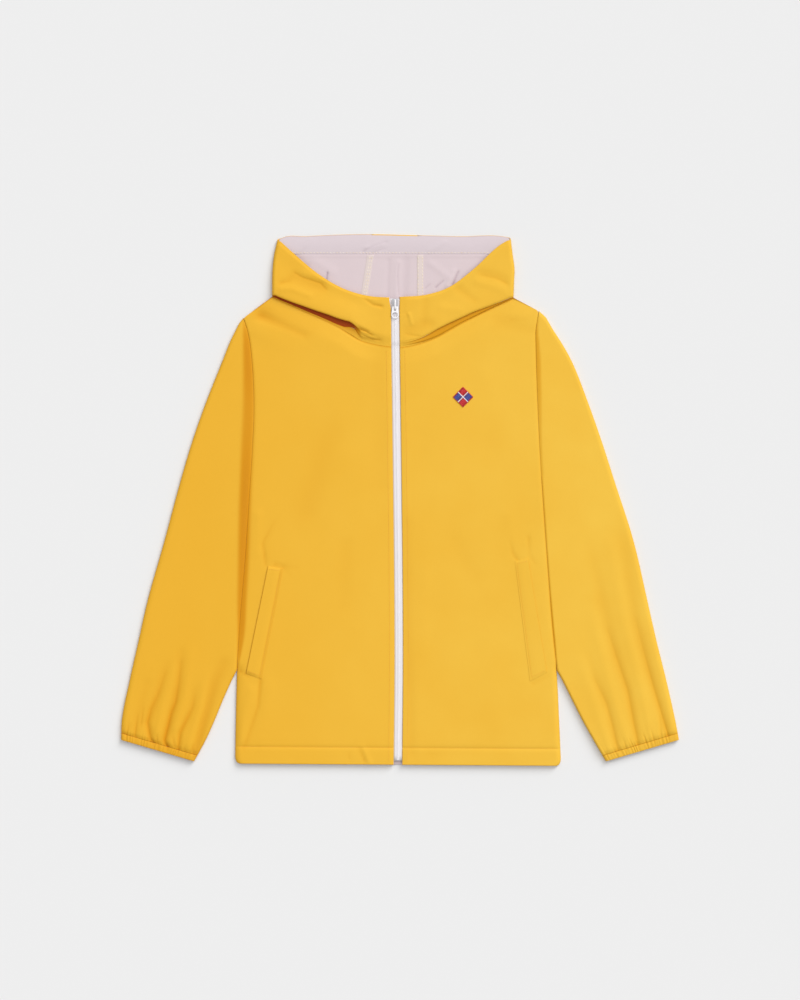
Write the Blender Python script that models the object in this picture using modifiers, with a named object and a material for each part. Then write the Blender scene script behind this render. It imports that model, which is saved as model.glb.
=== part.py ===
"""A lined rain jacket with a hood, laid flat on its back with the zip closed.

The jacket lies on the plane z = 0 with the hood towards +Y. Right and left are the wearer's, so the
right side is at -X. Sizes below are in millimetres; points become metres where they go into a mesh.
"""
import math

import bmesh
import bpy

MM = 0.001

# Cloth
WALL = 1.6               # doubled shell cloth
LINING_WALL = 1.0
ZIP_TAPE_WALL = 1.0
SEAM = 0.4               # between two pieces sewn edge to edge
LIFT = 0.35              # between a piece and what lies on it

# Heights above the floor
FRONT_TOP = 7.0          # outside of the two fronts
RIM = 1.95               # lower edge of a front, just above the back panel
SLEEVE_TOP = 7.2
ROLL_RIGHT = 10.6        # the hood rolls over the neck seam
ROLL_LEFT = 9.6
MOUTH_TOP = 8.2          # edge of the hood's mouth
LINING_TOP = WALL + LIFT + LINING_WALL

# Main lengths
HEM_RIGHT_Y = -353.5     # the hem runs down a little towards the left side
HEM_LEFT_Y = -356.5
HEM_CORNER = 10.0
HEM_DEPTH = 23.0         # turned up and stitched
SHOULDER_RIGHT_Y = 244.0
SHOULDER_LEFT_Y = 253.5
ARMHOLE_Y = 33.0         # bottom of the armholes
NOTCH_Y = -228.0         # where a sleeve leaves the body's side
CUFF_DEPTH = 9.0
HOOD_FOLD = 4.5          # radius of the hood's side folds
BRIM_SEAM_Y = 329.5      # where the brim's facing is sewn to the lining
TUCK = 14.0              # the lining goes this far under the hood's front edge
SIDE_GAP = 0.5           # between the body's side and the sleeve beside it
TIP_GAP = 1.2            # more of it at the shoulder's tip

# Zip
ZIP_HALF_OPENING = 5.7
ZIP_TAPE_HALF = 8.6
CHAIN_HALF = 2.1
CHAIN_HEIGHT = 1.2
ZIP_EDGE_DROP = 0.4
ZIP_BOTTOM_Y = -349.5
ZIP_TOP_Y = 270.0

# Side of the body: y, x of the right side, x of the left side, rounding of each
SIDE = (
    (253.5, -212.8, 185.6, 4.5, 4.5),
    (244.0, -209.7, 184.4, 4.5, 4.5),
    (227.0, -204.4, 181.9, 4.5, 5.0),
    (208.0, -200.8, 182.0, 4.0, 6.0),
    (133.0, -195.8, 184.3, 5.0, 6.0),
    (62.0, -198.3, 187.6, 6.0, 5.5),
    (0.0, -202.3, 191.6, 8.0, 6.0),
    (-81.0, -207.7, 197.4, 12.0, 7.0),
    (-161.0, -214.4, 203.7, 15.0, 8.0),
    (-231.0, -218.6, 210.2, 15.0, 8.0),
    (-300.0, -220.4, 213.7, 11.0, 9.0),
    (-357.0, -221.4, 216.2, 8.0, 8.0),
)

# Outer edge of the sleeves: y, x of the right sleeve, x of the left sleeve
SLEEVE_OUTSIDE = (
    (253.5, -204.0, 185.6),
    (249.0, -206.5, 192.0),
    (244.0, -209.7, 196.2),
    (238.0, -214.8, 199.6),
    (228.5, -219.8, 205.0),
    (214.0, -227.1, 214.6),
    (187.0, -237.8, 229.8),
    (133.0, -259.3, 251.3),
    (80.0, -278.0, 270.0),
    (26.0, -294.1, 287.4),
    (-54.0, -315.6, 312.9),
    (-135.0, -338.4, 331.7),
    (-188.0, -350.4, 343.7),
    (-242.0, -362.5, 357.1),
    (-295.0, -373.0, 369.0),
    (-321.5, -374.0, 374.0),
)

# Inner edge of the sleeves below the notch
SLEEVE_INSIDE = (
    (-242.0, -225.8, 217.8),
    (-269.0, -237.8, 231.2),
    (-295.5, -248.6, 244.6),
    (-322.0, -260.6, 259.3),
    (-350.4, -276.0, 276.0),
)

# Middle of the zip: y, x
ZIP_LINE = (
    (272.0, -6.7),
    (200.0, -5.9),
    (133.0, -4.9),
    (0.0, -3.2),
    (-134.0, -1.8),
    (-230.0, -1.6),
    (-357.0, -2.8),
)

# Neck seam across the fronts: x, y
NECK_SEAM = (
    (-171.5, 272.3),
    (-128.4, 253.1),
    (-97.0, 239.2),
    (-82.0, 231.6),
    (-70.0, 224.0),
    (-54.8, 215.0),
    (-32.0, 208.4),
    (-8.0, 205.2),
    (6.7, 205.4),
    (21.4, 208.4),
    (38.0, 213.6),
    (52.0, 219.6),
    (66.0, 227.6),
    (81.0, 236.2),
    (98.0, 244.8),
    (116.0, 253.8),
    (152.0, 271.0),
)

# Neck seam at the back, under the lining: x, y
BACK_NECK = ((-171.5, 272.3), (-120.0, 265.0), (-9.7, 261.0), (100.0, 264.5), (152.0, 271.0))

# Edge of the hood's mouth: x, y
MOUTH = (
    (-162.0, 348.5),
    (-142.0, 330.3),
    (-110.0, 303.5),
    (-78.0, 284.5),
    (-46.0, 274.3),
    (-11.4, 271.6),
    (2.7, 272.4),
    (35.0, 275.2),
    (67.0, 286.1),
    (99.0, 310.0),
    (131.0, 339.7),
    (146.0, 349.0),
)

# Upper edge of the laid-up hood: x, y
BRIM = (
    (-166.0, 346.0),
    (-158.0, 352.0),
    (-126.0, 353.7),
    (-78.0, 356.0),
    (-38.0, 356.5),
    (35.0, 354.8),
    (83.0, 353.6),
    (135.0, 354.0),
    (148.0, 350.5),
    (152.0, 346.0),
)

# Side folds of the hood, from the neck to the brim: y, x of the right one, x of the left one
HOOD_SIDE = (
    (271.0, -171.5, 152.0),
    (297.0, -171.5, 153.0),
    (312.0, -171.0, 153.6),
    (330.0, -169.0, 151.0),
    (348.0, -164.4, 148.5),
)

LINING_SEAM_RIGHT = ((258.0, -53.0), (356.0, -37.5))    # y, x
LINING_SEAM_LEFT = ((258.0, 23.3), (356.0, 23.3))

# Soft creases of the fronts: x and y of both ends, half width, height (below zero is a trough)
FRONT_CREASES = (
    (-188.0, 246.0, -94.0, 207.0, 16.0, 0.8),
    (-134.0, -54.0, -94.0, 26.0, 26.0, -0.5),
    (-186.0, -61.0, -178.0, -89.0, 11.0, -1.0),
    (-168.0, -88.0, -140.0, -88.0, 9.0, -0.7),
    (-186.0, -240.0, -202.0, -322.0, 14.0, -1.2),
    (-196.0, -130.0, -204.0, -215.0, 12.0, 0.8),
    (8.0, -81.0, 8.0, -340.0, 11.0, -0.6),
    (134.0, 239.0, 174.0, 226.0, 14.0, -0.9),
    (150.0, -60.0, 158.0, -90.0, 12.0, -0.6),
    (186.0, -130.0, 200.0, -220.0, 12.0, 0.6),
)

# Slanted welts of the pockets, corners: top inner, top outer, bottom outer, bottom inner
WELT_RIGHT = ((-156.8, -91.8), (-176.9, -88.4), (-206.4, -232.5), (-185.9, -239.9))
WELT_LEFT = ((154.0, -82.0), (171.5, -77.5), (197.0, -231.0), (174.2, -243.0))
WELT_WALL = 1.2

# Gathers across the front of a cuff, from the outer edge to the inner one:
# place (share of the width), depth at the casing, reach up the sleeve
GATHERS = (
    (0.09, 1.3, 40.0),
    (0.19, 1.7, 62.0),
    (0.29, 2.0, 105.0),
    (0.39, 1.5, 48.0),
    (0.49, 2.2, 135.0),
    (0.58, 1.4, 52.0),
    (0.68, 1.8, 84.0),
    (0.78, 1.4, 45.0),
    (0.89, 1.2, 34.0),
)
GATHER_HALF = 0.03       # half width of one gather, as a share of the width

# Long soft folds on the top of the sleeves: share of the width at the upper and the lower end,
# share of the length at both ends, half width as a share of the width, height
SLEEVE_FOLDS = (
    (0.44, 0.55, 0.62, 0.97, 0.07, -1.0),
    (0.62, 0.70, 0.55, 0.95, 0.08, 0.7),
    (0.25, 0.22, 0.70, 0.98, 0.08, -0.8),
    (0.80, 0.62, 0.05, 0.30, 0.12, 0.6),
)

BADGE_X = 84.4
BADGE_Y = 138.0
BADGE_HALF = 13.7
BADGE_WALL = 0.9

# Slider and pull tab
HINGE_Y = 258.6
SLIDER_HALF_WIDTH = 4.2
SLIDER_TOP_Y = 269.6
SLIDER_BOTTOM_Y = 255.0
SLIDER_PLATE = 1.1
BRIDGE_HALF_WIDTH = 0.8
BRIDGE_LEG = 1.3
BRIDGE_WINDOW = (256.5, 261.3)     # y of the window's two ends
PULL_LENGTH = 15.6
PULL_WALL = 1.2
PULL_TOP_HALF = 3.7
PULL_END_HALF = 5.1
PULL_WINDOW_HALF = 1.7
PULL_WINDOW_END = 4.7
PULL_TILT = math.radians(4.0)

# Stations across and along the pieces, as shares
ROUNDING = tuple(math.radians(angle) for angle in (0, 15, 32, 50, 70, 90))
FRONT_ACROSS = (0.06, 0.14, 0.24, 0.34, 0.44, 0.54, 0.63, 0.72, 0.80, 0.87, 0.93, 0.98, 1.0)
FRONT_DOWN = (0.0, 0.013, 0.0265, 0.0417, 0.058, 0.075, 0.097, 0.13, 0.18, 0.25, 0.32, 0.39, 0.46, 0.52, 0.57,
              0.61, 0.66, 0.71, 0.76, 0.81, 0.86, 0.91, 0.948, 0.966, 0.984, 0.996, 1.0)
BACK_UP = (0.0, 0.005, 0.01, 0.018, 0.1, 0.2, 0.3, 0.4, 0.5, 0.6, 0.68, 0.76, 0.84, 0.9, 0.94, 0.965,
           0.985, 1.0)
SLEEVE_DOWN = (0.0, 0.006, 0.015, 0.035, 0.08, 0.16, 0.26, 0.37, 0.48, 0.58, 0.67, 0.745, 0.81,
               0.865, 0.91, 0.95, 0.98, 1.0)
HOOD_UP = (0.0, 0.025, 0.05, 0.08, 0.11, 0.145, 0.19, 0.27, 0.40, 0.56, 0.74, 0.88, 0.97, 1.0)
STRAIGHT = tuple(i / 6 for i in range(7))


# ---------------------------------------------------------------- small maths

def lerp(a, b, t):
    return a + (b - a) * t


def ease(t):
    """0 to 1 with soft ends."""
    t = min(max(t, 0.0), 1.0)
    return t * t * (3 - 2 * t)


def round_over(distance, radius):
    """Quarter ellipse: 0 at the edge, 1 from the radius on."""
    t = min(max(distance / radius, 0.0), 1.0)
    return math.sqrt(1 - (1 - t) ** 2)


def lookup(table, key, column=1):
    """Value of a table's column at key, on a smooth curve through its rows."""
    rows = table if table[0][0] < table[-1][0] else table[::-1]
    key = min(max(key, rows[0][0]), rows[-1][0])
    i = max(k for k in range(len(rows) - 1) if rows[k][0] <= key)
    slopes = [(b[column] - a[column]) / (b[0] - a[0]) for a, b in zip(rows, rows[1:])]
    before = slopes[max(i - 1, 0)]
    after = slopes[min(i + 1, len(slopes) - 1)]
    run = rows[i + 1][0] - rows[i][0]
    t = (key - rows[i][0]) / run
    start = (before + slopes[i]) / 2 * run
    end = (slopes[i] + after) / 2 * run
    t2 = t * t
    t3 = t2 * t
    return ((2 * t3 - 3 * t2 + 1) * rows[i][column] + (t3 - 2 * t2 + t) * start
            + (3 * t2 - 2 * t3) * rows[i + 1][column] + (t3 - t2) * end)


def walk(points, distance):
    """Point that lies a distance along a line of points."""
    for a, b in zip(points, points[1:]):
        step = math.dist(a, b)
        if distance <= step:
            return (lerp(a[0], b[0], distance / step), lerp(a[1], b[1], distance / step))
        distance -= step
    return points[-1]


def length(points):
    return sum(math.dist(a, b) for a, b in zip(points, points[1:]))


def to_segment(x, y, x1, y1, x2, y2):
    """Distance from a segment, and how far along it the nearest point is, 0 to 1."""
    dx, dy = x2 - x1, y2 - y1
    t = ((x - x1) * dx + (y - y1) * dy) / (dx * dx + dy * dy)
    t = min(max(t, 0.0), 1.0)
    return math.dist((x, y), (x1 + t * dx, y1 + t * dy)), t


def crease(x, y, creases):
    """Height that the soft creases of a table add at a point."""
    height = 0.0
    for x1, y1, x2, y2, half, top in creases:
        away, along = to_segment(x, y, x1, y1, x2, y2)
        height += top * math.exp(-(away / half) ** 2 * 2) * (0.45 + 0.55 * math.sin(math.pi * along))
    return height


# ---------------------------------------------------------------- outlines

def side_column(side):
    return 1 if side < 0 else 2


def shoulder_y(side):
    return SHOULDER_RIGHT_Y if side < 0 else SHOULDER_LEFT_Y


def hem_y(x):
    return lerp(HEM_RIGHT_Y, HEM_LEFT_Y, (x + 221) / 437)


def zip_x(y):
    return lookup(ZIP_LINE, y)


def side_x(side, y):
    """Side of the body, from the neck corner over the shoulder tip to the hem."""
    tip_y = shoulder_y(side)
    if y > tip_y:
        corner = NECK_SEAM[0] if side < 0 else NECK_SEAM[-1]
        tip = lookup(SIDE, tip_y, side_column(side))
        return lerp(tip, corner[0], (y - tip_y) / (corner[1] - tip_y))
    x = lookup(SIDE, y, side_column(side))
    above_hem = y - hem_y(x)
    if above_hem < HEM_CORNER:
        left_over = HEM_CORNER - max(above_hem, 0.0)
        x -= side * (HEM_CORNER - math.sqrt(HEM_CORNER ** 2 - left_over ** 2)) * 0.6
    return x


def side_rounding(side, y):
    return lookup(SIDE, y, 3 if side < 0 else 4)


def hood_side_x(side, y):
    return lookup(HOOD_SIDE, y, side_column(side))


# ---------------------------------------------------------------- heights

def neck_dip(x):
    """How far the fronts sink at the neck seam."""
    deep = 2.4 if x < zip_x(200) else 1.7
    return lerp(0.3, deep, ease(abs(x - zip_x(200)) / 45))


def front_height(x, y):
    """Outside of a front, away from its side edge."""
    below_seam = (lookup(NECK_SEAM, x) - y) * 0.9
    above_hem = y - hem_y(x)
    z = FRONT_TOP - neck_dip(x) * (1 - ease(below_seam / 24))
    z -= 1.3 * (1 - round_over(above_hem, 4))
    z -= 0.35 * math.exp(-((above_hem - HEM_DEPTH) / 3) ** 2)
    away_from_seam = ease(below_seam / 20) * ease(above_hem / 25)
    return z + crease(x, y, FRONT_CREASES) * away_from_seam


def front_skin(side, x, y):
    """Outside of a front with its rounded side edge."""
    radius = side_rounding(side, y)
    inside = (side_x(side, y) - x) * side
    return lerp(RIM + 0.6, front_height(x, y), round_over(inside, radius))


def hood_height(side, across, up):
    """Outside of the hood's front: across from the side fold to the zip, up from the neck seam."""
    right = side < 0
    seam_x = lerp((NECK_SEAM[0] if right else NECK_SEAM[-1])[0], zip_x(200), across)
    seam = FRONT_TOP - neck_dip(seam_x)
    roll = lerp(ROLL_RIGHT if right else ROLL_LEFT, MOUTH_TOP, ease((across - 0.62) / 0.38))
    spread = min(across * 3, 1.0) * (1 - ease((across - 0.75) / 0.2))
    start = lerp(0.0, 0.055 if right else 0.0, spread)
    crest = lerp(0.12, 0.15 if right else 0.08, spread)
    if up < crest:
        return lerp(seam, roll, ease((up - start) / (crest - start)))
    sink = ease((up - crest) / (0.8 - crest))
    edge = lerp(1.2, 0.1, ease((across - 0.8) / 0.2)) * ease((up - 0.93) / 0.07)
    return lerp(roll, MOUTH_TOP, sink) - edge


def middle_height(y):
    """Outside of the cloth beside the zip."""
    seam_y = lookup(NECK_SEAM, zip_x(205))
    if y <= seam_y:
        return front_height(zip_x(y), y)
    up = (y - seam_y) / (lookup(MOUTH, zip_x(270)) - seam_y)
    return hood_height(1, 1.0, min(up, 0.93))


def tape_height(y):
    return middle_height(y) - ZIP_EDGE_DROP - WALL - 1.3 * LIFT


# ---------------------------------------------------------------- building

def material(name, colour, roughness, metallic=0.0):
    made = bpy.data.materials.new(name)
    made.use_nodes = True
    shader = made.node_tree.nodes["Principled BSDF"]
    shader.inputs["Base Color"].default_value = (*colour, 1.0)
    shader.inputs["Roughness"].default_value = roughness
    shader.inputs["Metallic"].default_value = metallic
    return made


def add_object(name, bm, finish, collection, smooth=True):
    mesh = bpy.data.meshes.new(name)
    bm.to_mesh(mesh)
    bm.free()
    mesh.materials.append(finish)
    if smooth:
        mesh.shade_smooth()
        mesh.set_sharp_from_angle(angle=math.radians(50))
    piece = bpy.data.objects.new(name, mesh)
    collection.objects.link(piece)
    return piece


def cloth(name, columns, rows, place, finish, collection, wall=WALL, turned=False, closed=False,
          origin=(0.0, 0.0, 0.0)):
    """Sheet whose grid points are placed by a function of (column, row), then given its wall."""
    across, down = len(columns) - 1, len(rows) - 1
    bm = bmesh.new()
    bmesh.ops.create_grid(bm, x_segments=across, y_segments=down, size=0.5)
    for vertex in bm.verts:
        column = columns[round((vertex.co.x + 0.5) * across)]
        row = rows[round((vertex.co.y + 0.5) * down)]
        vertex.co = [(value - start) * MM for value, start in zip(place(column, row), origin)]
    if closed:
        bmesh.ops.remove_doubles(bm, verts=bm.verts, dist=0.01 * MM)
    if turned:
        bmesh.ops.reverse_faces(bm, faces=bm.faces)
    piece = add_object(name, bm, finish, collection)
    piece.location = [value * MM for value in origin]
    solidify = piece.modifiers.new("wall", "SOLIDIFY")
    solidify.thickness = wall * MM
    solidify.offset = -1.0
    return piece


def block(name, low, high, finish, collection, bevel=0.0):
    """Box between two corners, with rounded edges."""
    bm = bmesh.new()
    bmesh.ops.create_cube(bm, size=1.0)
    for vertex in bm.verts:
        vertex.co = [lerp(a, b, c + 0.5) * MM for a, b, c in zip(low, high, vertex.co)]
    if bevel:
        bmesh.ops.bevel(bm, geom=bm.edges, offset=bevel * MM, segments=2, profile=0.5,
                        affect="EDGES", material=-1)
    return add_object(name, bm, finish, collection, smooth=False)


def combine(target, tool, operation):
    """Boolean of a hidden tool on a piece."""
    tool.hide_render = True
    tool.display_type = "WIRE"
    modifier = target.modifiers.new(tool.name, "BOOLEAN")
    modifier.operation = operation
    modifier.object = tool


# ---------------------------------------------------------------- body

def front_columns():
    """Across a front: the side edge's short upright, its rounding, then steps to the zip."""
    edge = [("upright", 0.0)] + [("round", angle) for angle in ROUNDING]
    return edge + [("flat", share) for share in FRONT_ACROSS]


def front_x(side, column, y_side, y_zip):
    """X of a front's column on the line from its side at y_side to the zip at y_zip."""
    kind, value = column
    edge = side_x(side, y_side)
    radius = side_rounding(side, y_side)
    if kind == "flat":
        return lerp(edge - side * radius, zip_x(y_zip) + side * ZIP_HALF_OPENING, value)
    return edge - side * radius * (1 - math.cos(value))


def make_front(side, finish, collection):
    corner_y = NECK_SEAM[0][1]
    seam_end_y = lookup(NECK_SEAM, zip_x(205) + side * ZIP_HALF_OPENING)
    hem_side_y = hem_y(side_x(side, HEM_RIGHT_Y))
    hem_zip_y = hem_y(zip_x(HEM_LEFT_Y))

    def place(column, down):
        top_x = front_x(side, column, corner_y, seam_end_y)
        x = front_x(side, column, lerp(corner_y, hem_side_y, down), lerp(seam_end_y, hem_zip_y, down))
        y = lerp(lookup(NECK_SEAM, top_x), hem_y(x), down)
        if column[0] == "upright":
            return x, y, RIM
        z = front_skin(side, x, y)
        return x, y, z - ZIP_EDGE_DROP if column == ("flat", 1.0) else z

    name = "front_right" if side < 0 else "front_left"
    return cloth(name, front_columns(), FRONT_DOWN[::-1], place, finish, collection, turned=side > 0)


def make_back(finish, collection):
    """Flat panel on the floor, its neckline from shoulder to shoulder."""
    tips = [(side_x(side, shoulder_y(side)), shoulder_y(side)) for side in (-1, 1)]
    neck = [lerp(BACK_NECK[0][0], BACK_NECK[-1][0], i / 14) for i in range(15)]
    top = [tips[0]] + [(x, lookup(BACK_NECK, x)) for x in neck] + [tips[1]]

    def place(point, up):
        share = (point[0] - tips[0][0]) / (tips[1][0] - tips[0][0])
        hem = hem_y(point[0])
        ends = [side_x(side, lerp(hem, shoulder_y(side), up)) for side in (-1, 1)]
        x = lerp(*ends, share)
        return x, lerp(hem, point[1] - SEAM / 2, up), WALL

    return cloth("back", top, BACK_UP, place, finish, collection)


# ---------------------------------------------------------------- sleeves

def sleeve_lines(side):
    """Outer edge from the shoulder, inner edge from the armhole, and the armhole, as points."""
    column = side_column(side)
    tip_y = shoulder_y(side)

    def sample(table, high, low, gap=SIDE_GAP):
        count = max(int((high - low) / 8), 2)
        heights = [lerp(high, low, i / count) for i in range(count + 1)]
        gaps = [gap + TIP_GAP * max(1 - (tip_y - y) / 12, 0.0) for y in heights]
        return [(lookup(table, y, column) + side * gap, y) for y, gap in zip(heights, gaps)]

    outer = sample(SLEEVE_OUTSIDE, tip_y, SLEEVE_OUTSIDE[-1][0])
    inner = sample(SIDE, ARMHOLE_Y, NOTCH_Y)
    inner += sample(SLEEVE_INSIDE, SLEEVE_INSIDE[0][0], SLEEVE_INSIDE[-1][0], 0.0)
    return outer, inner, sample(SIDE, tip_y, ARMHOLE_Y)


def sleeve_section():
    """Round a flat tube: outer edge, over the top to the inner edge, and back underneath."""
    places = [place for place, depth, reach in GATHERS]
    ridges = [(a + b) / 2 for a, b in zip(places, places[1:])]
    top = sorted(places + ridges + [0.0, 1.0])
    under = (0.0, 0.25, 0.5, 0.75, 1.0)
    section = [("outer_top", angle) for angle in ROUNDING[:-1]]
    section += [("top", share) for share in top]
    section += [("inner_top", angle) for angle in ROUNDING[-2::-1]]
    section += [("inner_under", angle) for angle in (ROUNDING[2], ROUNDING[3])]
    section += [("under", share) for share in under]
    section += [("outer_under", angle) for angle in (ROUNDING[3], ROUNDING[2], 0.0)]
    return section


def tube_point(station, outer, inner, outer_round, inner_round, top_height):
    """Point of a flat tube's ring: share across it, and height."""
    kind, value = station
    width = math.dist(outer, inner)
    middle = SLEEVE_TOP / 2
    first, last = outer_round / width, 1 - inner_round / width
    if kind == "top":
        share = lerp(first, last, value)
        return share, top_height(share, value)
    if kind in ("outer_top", "inner_top"):
        end = 1 - math.cos(value)
        share = first * end if kind == "outer_top" else 1 - (1 - last) * end
        crown = top_height(share, 0.0 if kind == "outer_top" else 1.0)
        return share, lerp(middle, crown, math.sin(value))
    if kind == "under":
        return lerp(1 - middle / width, middle / width, value), 0.0
    share = middle * (1 - math.cos(value)) / width
    return (share if kind == "outer_under" else 1 - share), middle * (1 - math.sin(value))


def gather_depth(share, above_casing, fade):
    depth = 0.0
    for place, deep, reach in GATHERS:
        depth += deep * math.exp(-((share - place) / GATHER_HALF) ** 2) * (1 - fade(above_casing / reach))
    return depth


def sleeve_folds(share, down):
    height = 0.0
    for upper, lower, start, end, half, top in SLEEVE_FOLDS:
        along = (down - start) / (end - start)
        if 0 < along < 1:
            middle = lerp(upper, lower, along)
            height += top * math.exp(-((share - middle) / half) ** 2) * math.sin(math.pi * along)
    return height


def make_sleeve(side, finish, collection):
    outer_line, inner_line, armhole = sleeve_lines(side)
    outer_run = length(outer_line) - CUFF_DEPTH - SEAM
    inner_run = length(inner_line) - CUFF_DEPTH - SEAM
    armhole_run = length(armhole)

    def place(station, down):
        outer = walk(outer_line, outer_run * down)
        inner = walk(inner_line, inner_run * down ** 2)
        fan = max(1 - down / 0.3, 0.0) ** 2

        def plan(share):
            curved = walk(armhole, armhole_run * share)
            straight = [lerp(a, b, share) for a, b in zip(armhole[0], armhole[-1])]
            return [lerp(a, b, share) + fan * (c - d)
                    for a, b, c, d in zip(outer, inner, curved, straight)]

        def top_height(share, on_top):
            x, y = plan(share)
            away = min(to_segment(x, y, *a, *b)[0] for a, b in zip(armhole, armhole[1:]))
            z = SLEEVE_TOP - 2.2 * (1 - round_over(away, 12.0 if side < 0 else 6.0))
            above_casing = outer_run * (1 - down)
            z += 0.8 * ease(above_casing / 6) * (1 - ease(above_casing / 70))
            return z + sleeve_folds(on_top, down) - gather_depth(on_top, above_casing, ease)

        inner_round = lerp(14.0, 3.0, down) if side < 0 else lerp(6.0, 4.0, down)
        share, z = tube_point(station, outer, inner, 7.0, inner_round, top_height)
        return *plan(share), z

    name = "sleeve_right" if side < 0 else "sleeve_left"
    return cloth(name, sleeve_section(), SLEEVE_DOWN[::-1], place, finish, collection,
                 turned=side > 0, closed=True)


def make_cuff(side, finish, collection):
    """Casing of the elastic, rippled by it across the front."""
    outer_line, inner_line, armhole = sleeve_lines(side)
    outer_run, inner_run = length(outer_line), length(inner_line)

    def place(station, down):
        back_up = CUFF_DEPTH * (1 - down)
        outer = walk(outer_line, outer_run - back_up)
        inner = walk(inner_line, inner_run - back_up)

        def top_height(share, on_top):
            ripple = 0.6 * gather_depth(on_top, 0.0, ease)
            return SLEEVE_TOP - 0.5 - 0.5 * math.cos(2 * math.pi * down) - ripple

        share, z = tube_point(station, outer, inner, 5.0, 4.0, top_height)
        return *[lerp(a, b, share) for a, b in zip(outer, inner)], z

    name = "cuff_right" if side < 0 else "cuff_left"
    return cloth(name, sleeve_section(), (1.0, 0.5, 0.0), place, finish, collection,
                 turned=side > 0, closed=True)


# ---------------------------------------------------------------- hood

def make_hood_side(side, finish, collection):
    """From the centre strip along the floor, round the side fold and over the front to the zip."""
    right = side < 0
    corner = NECK_SEAM[0] if right else NECK_SEAM[-1]
    panel_seam = LINING_SEAM_RIGHT if right else LINING_SEAM_LEFT
    fold_top_y = HOOD_SIDE[-1][0]
    columns = [("back", share) for share in (0.0, 0.25, 0.5, 0.75)]
    columns += [("fold", math.radians(angle)) for angle in (0, 30, 60, 90, 120, 150, 180)]
    columns += [("front", share) for share in FRONT_ACROSS]

    def fold_x(up, angle):
        y = lerp(corner[1], fold_top_y, up)
        return hood_side_x(side, y) - side * HOOD_FOLD * (1 - math.sin(angle))

    def back_point(share, up):
        y_seam = lerp(BACK_NECK[2][1], BRIM[4][1], up)
        x = lerp(lookup(panel_seam, y_seam) + side * SEAM / 2, fold_x(up, 0.0), share)
        x_low = lerp(lookup(panel_seam, 261.0), fold_x(0.0, 0.0), share)
        return x, lerp(lookup(BACK_NECK, x_low) + SEAM, lookup(BRIM, x), up), 0.0

    def front_point(share, up):
        low_x = lerp(fold_x(0.0, 0.0), zip_x(205) + side * ZIP_HALF_OPENING, share)
        high_x = lerp(fold_x(1.0, 0.0), zip_x(270) + side * ZIP_HALF_OPENING, share)
        bow = fold_x(up, 0.0) - lerp(fold_x(0.0, 0.0), fold_x(1.0, 0.0), up)
        x = lerp(low_x, high_x, up) + bow * (1 - share)
        y = lerp(lookup(NECK_SEAM, low_x) + SEAM, lookup(MOUTH, high_x), up)
        z = hood_height(side, share, up)
        return x, y, z - ZIP_EDGE_DROP if share == 1.0 else z

    def place(column, up):
        kind, value = column
        if kind == "back":
            return back_point(value, up)
        if kind == "front":
            return front_point(value, up)
        turn = (1 - math.cos(value)) / 2
        low, high = back_point(1.0, up), front_point(0.0, up)
        y = lerp(low[1], high[1], turn)
        corner_y = corner[1] + SEAM
        return fold_x(up, value), y + (corner_y - y) * (1 - up) ** 8 * math.sin(value), high[2] * turn

    name = "hood_right" if right else "hood_left"
    return cloth(name, columns, HOOD_UP, place, finish, collection, turned=not right)


def make_hood_centre(finish, collection):
    """Strip between the side pieces, flat on the floor under the lining."""
    def place(share, up):
        y_seam = lerp(BACK_NECK[2][1], BRIM[4][1], up)
        x = lerp(lookup(LINING_SEAM_RIGHT, y_seam) + SEAM / 2,
                 lookup(LINING_SEAM_LEFT, y_seam) - SEAM / 2, share)
        return x, lerp(lookup(BACK_NECK, x) + SEAM, lookup(BRIM, x), up), WALL

    return cloth("hood_centre", (0.0, 0.2, 0.4, 0.6, 0.8, 1.0), STRAIGHT, place, finish, collection)


def lining_low_y(x):
    return min(lookup(MOUTH, x) - TUCK, BRIM_SEAM_Y - 4)


def make_linings(finish, collection):
    """Three panels that lie on the hood's back and show through its mouth."""
    def right_edge(y):
        return hood_side_x(-1, y) + HOOD_FOLD

    def left_edge(y):
        return hood_side_x(1, y) - HOOD_FOLD

    def right_seam(y):
        return lookup(LINING_SEAM_RIGHT, y)

    def left_seam(y):
        return lookup(LINING_SEAM_LEFT, y)

    panels = (
        ("hood_lining_right", right_edge, right_seam),
        ("hood_lining_centre", right_seam, left_seam),
        ("hood_lining_left", left_seam, left_edge),
    )
    for name, first, last in panels:
        def place(share, up):
            guess = lerp(first(310), last(310), share)
            y = lerp(lining_low_y(guess), BRIM_SEAM_Y, up)
            x = lerp(first(y) + SEAM / 2, last(y) - SEAM / 2, share)
            return x, lerp(lining_low_y(x), BRIM_SEAM_Y, up), LINING_TOP

        cloth(name, STRAIGHT, STRAIGHT, place, finish, collection, wall=LINING_WALL)


def make_brim_facing(finish, collection):
    """Strip along the brim, crowned by the turned edge under it."""
    ends = HOOD_SIDE[-1][1] + HOOD_FOLD, HOOD_SIDE[-1][2] - HOOD_FOLD
    shares = tuple(i / 14 for i in range(15))

    def place(share, up):
        x = lerp(*ends, share)
        y = lerp(BRIM_SEAM_Y + SEAM, lookup(BRIM, x) - 1.3, up)
        return x, y, LINING_TOP + 0.8 * math.sin(math.pi * up)

    return cloth("hood_brim_facing", shares, STRAIGHT[::2], place, finish, collection,
                 wall=LINING_WALL)


# ---------------------------------------------------------------- what lies on the fronts

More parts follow.
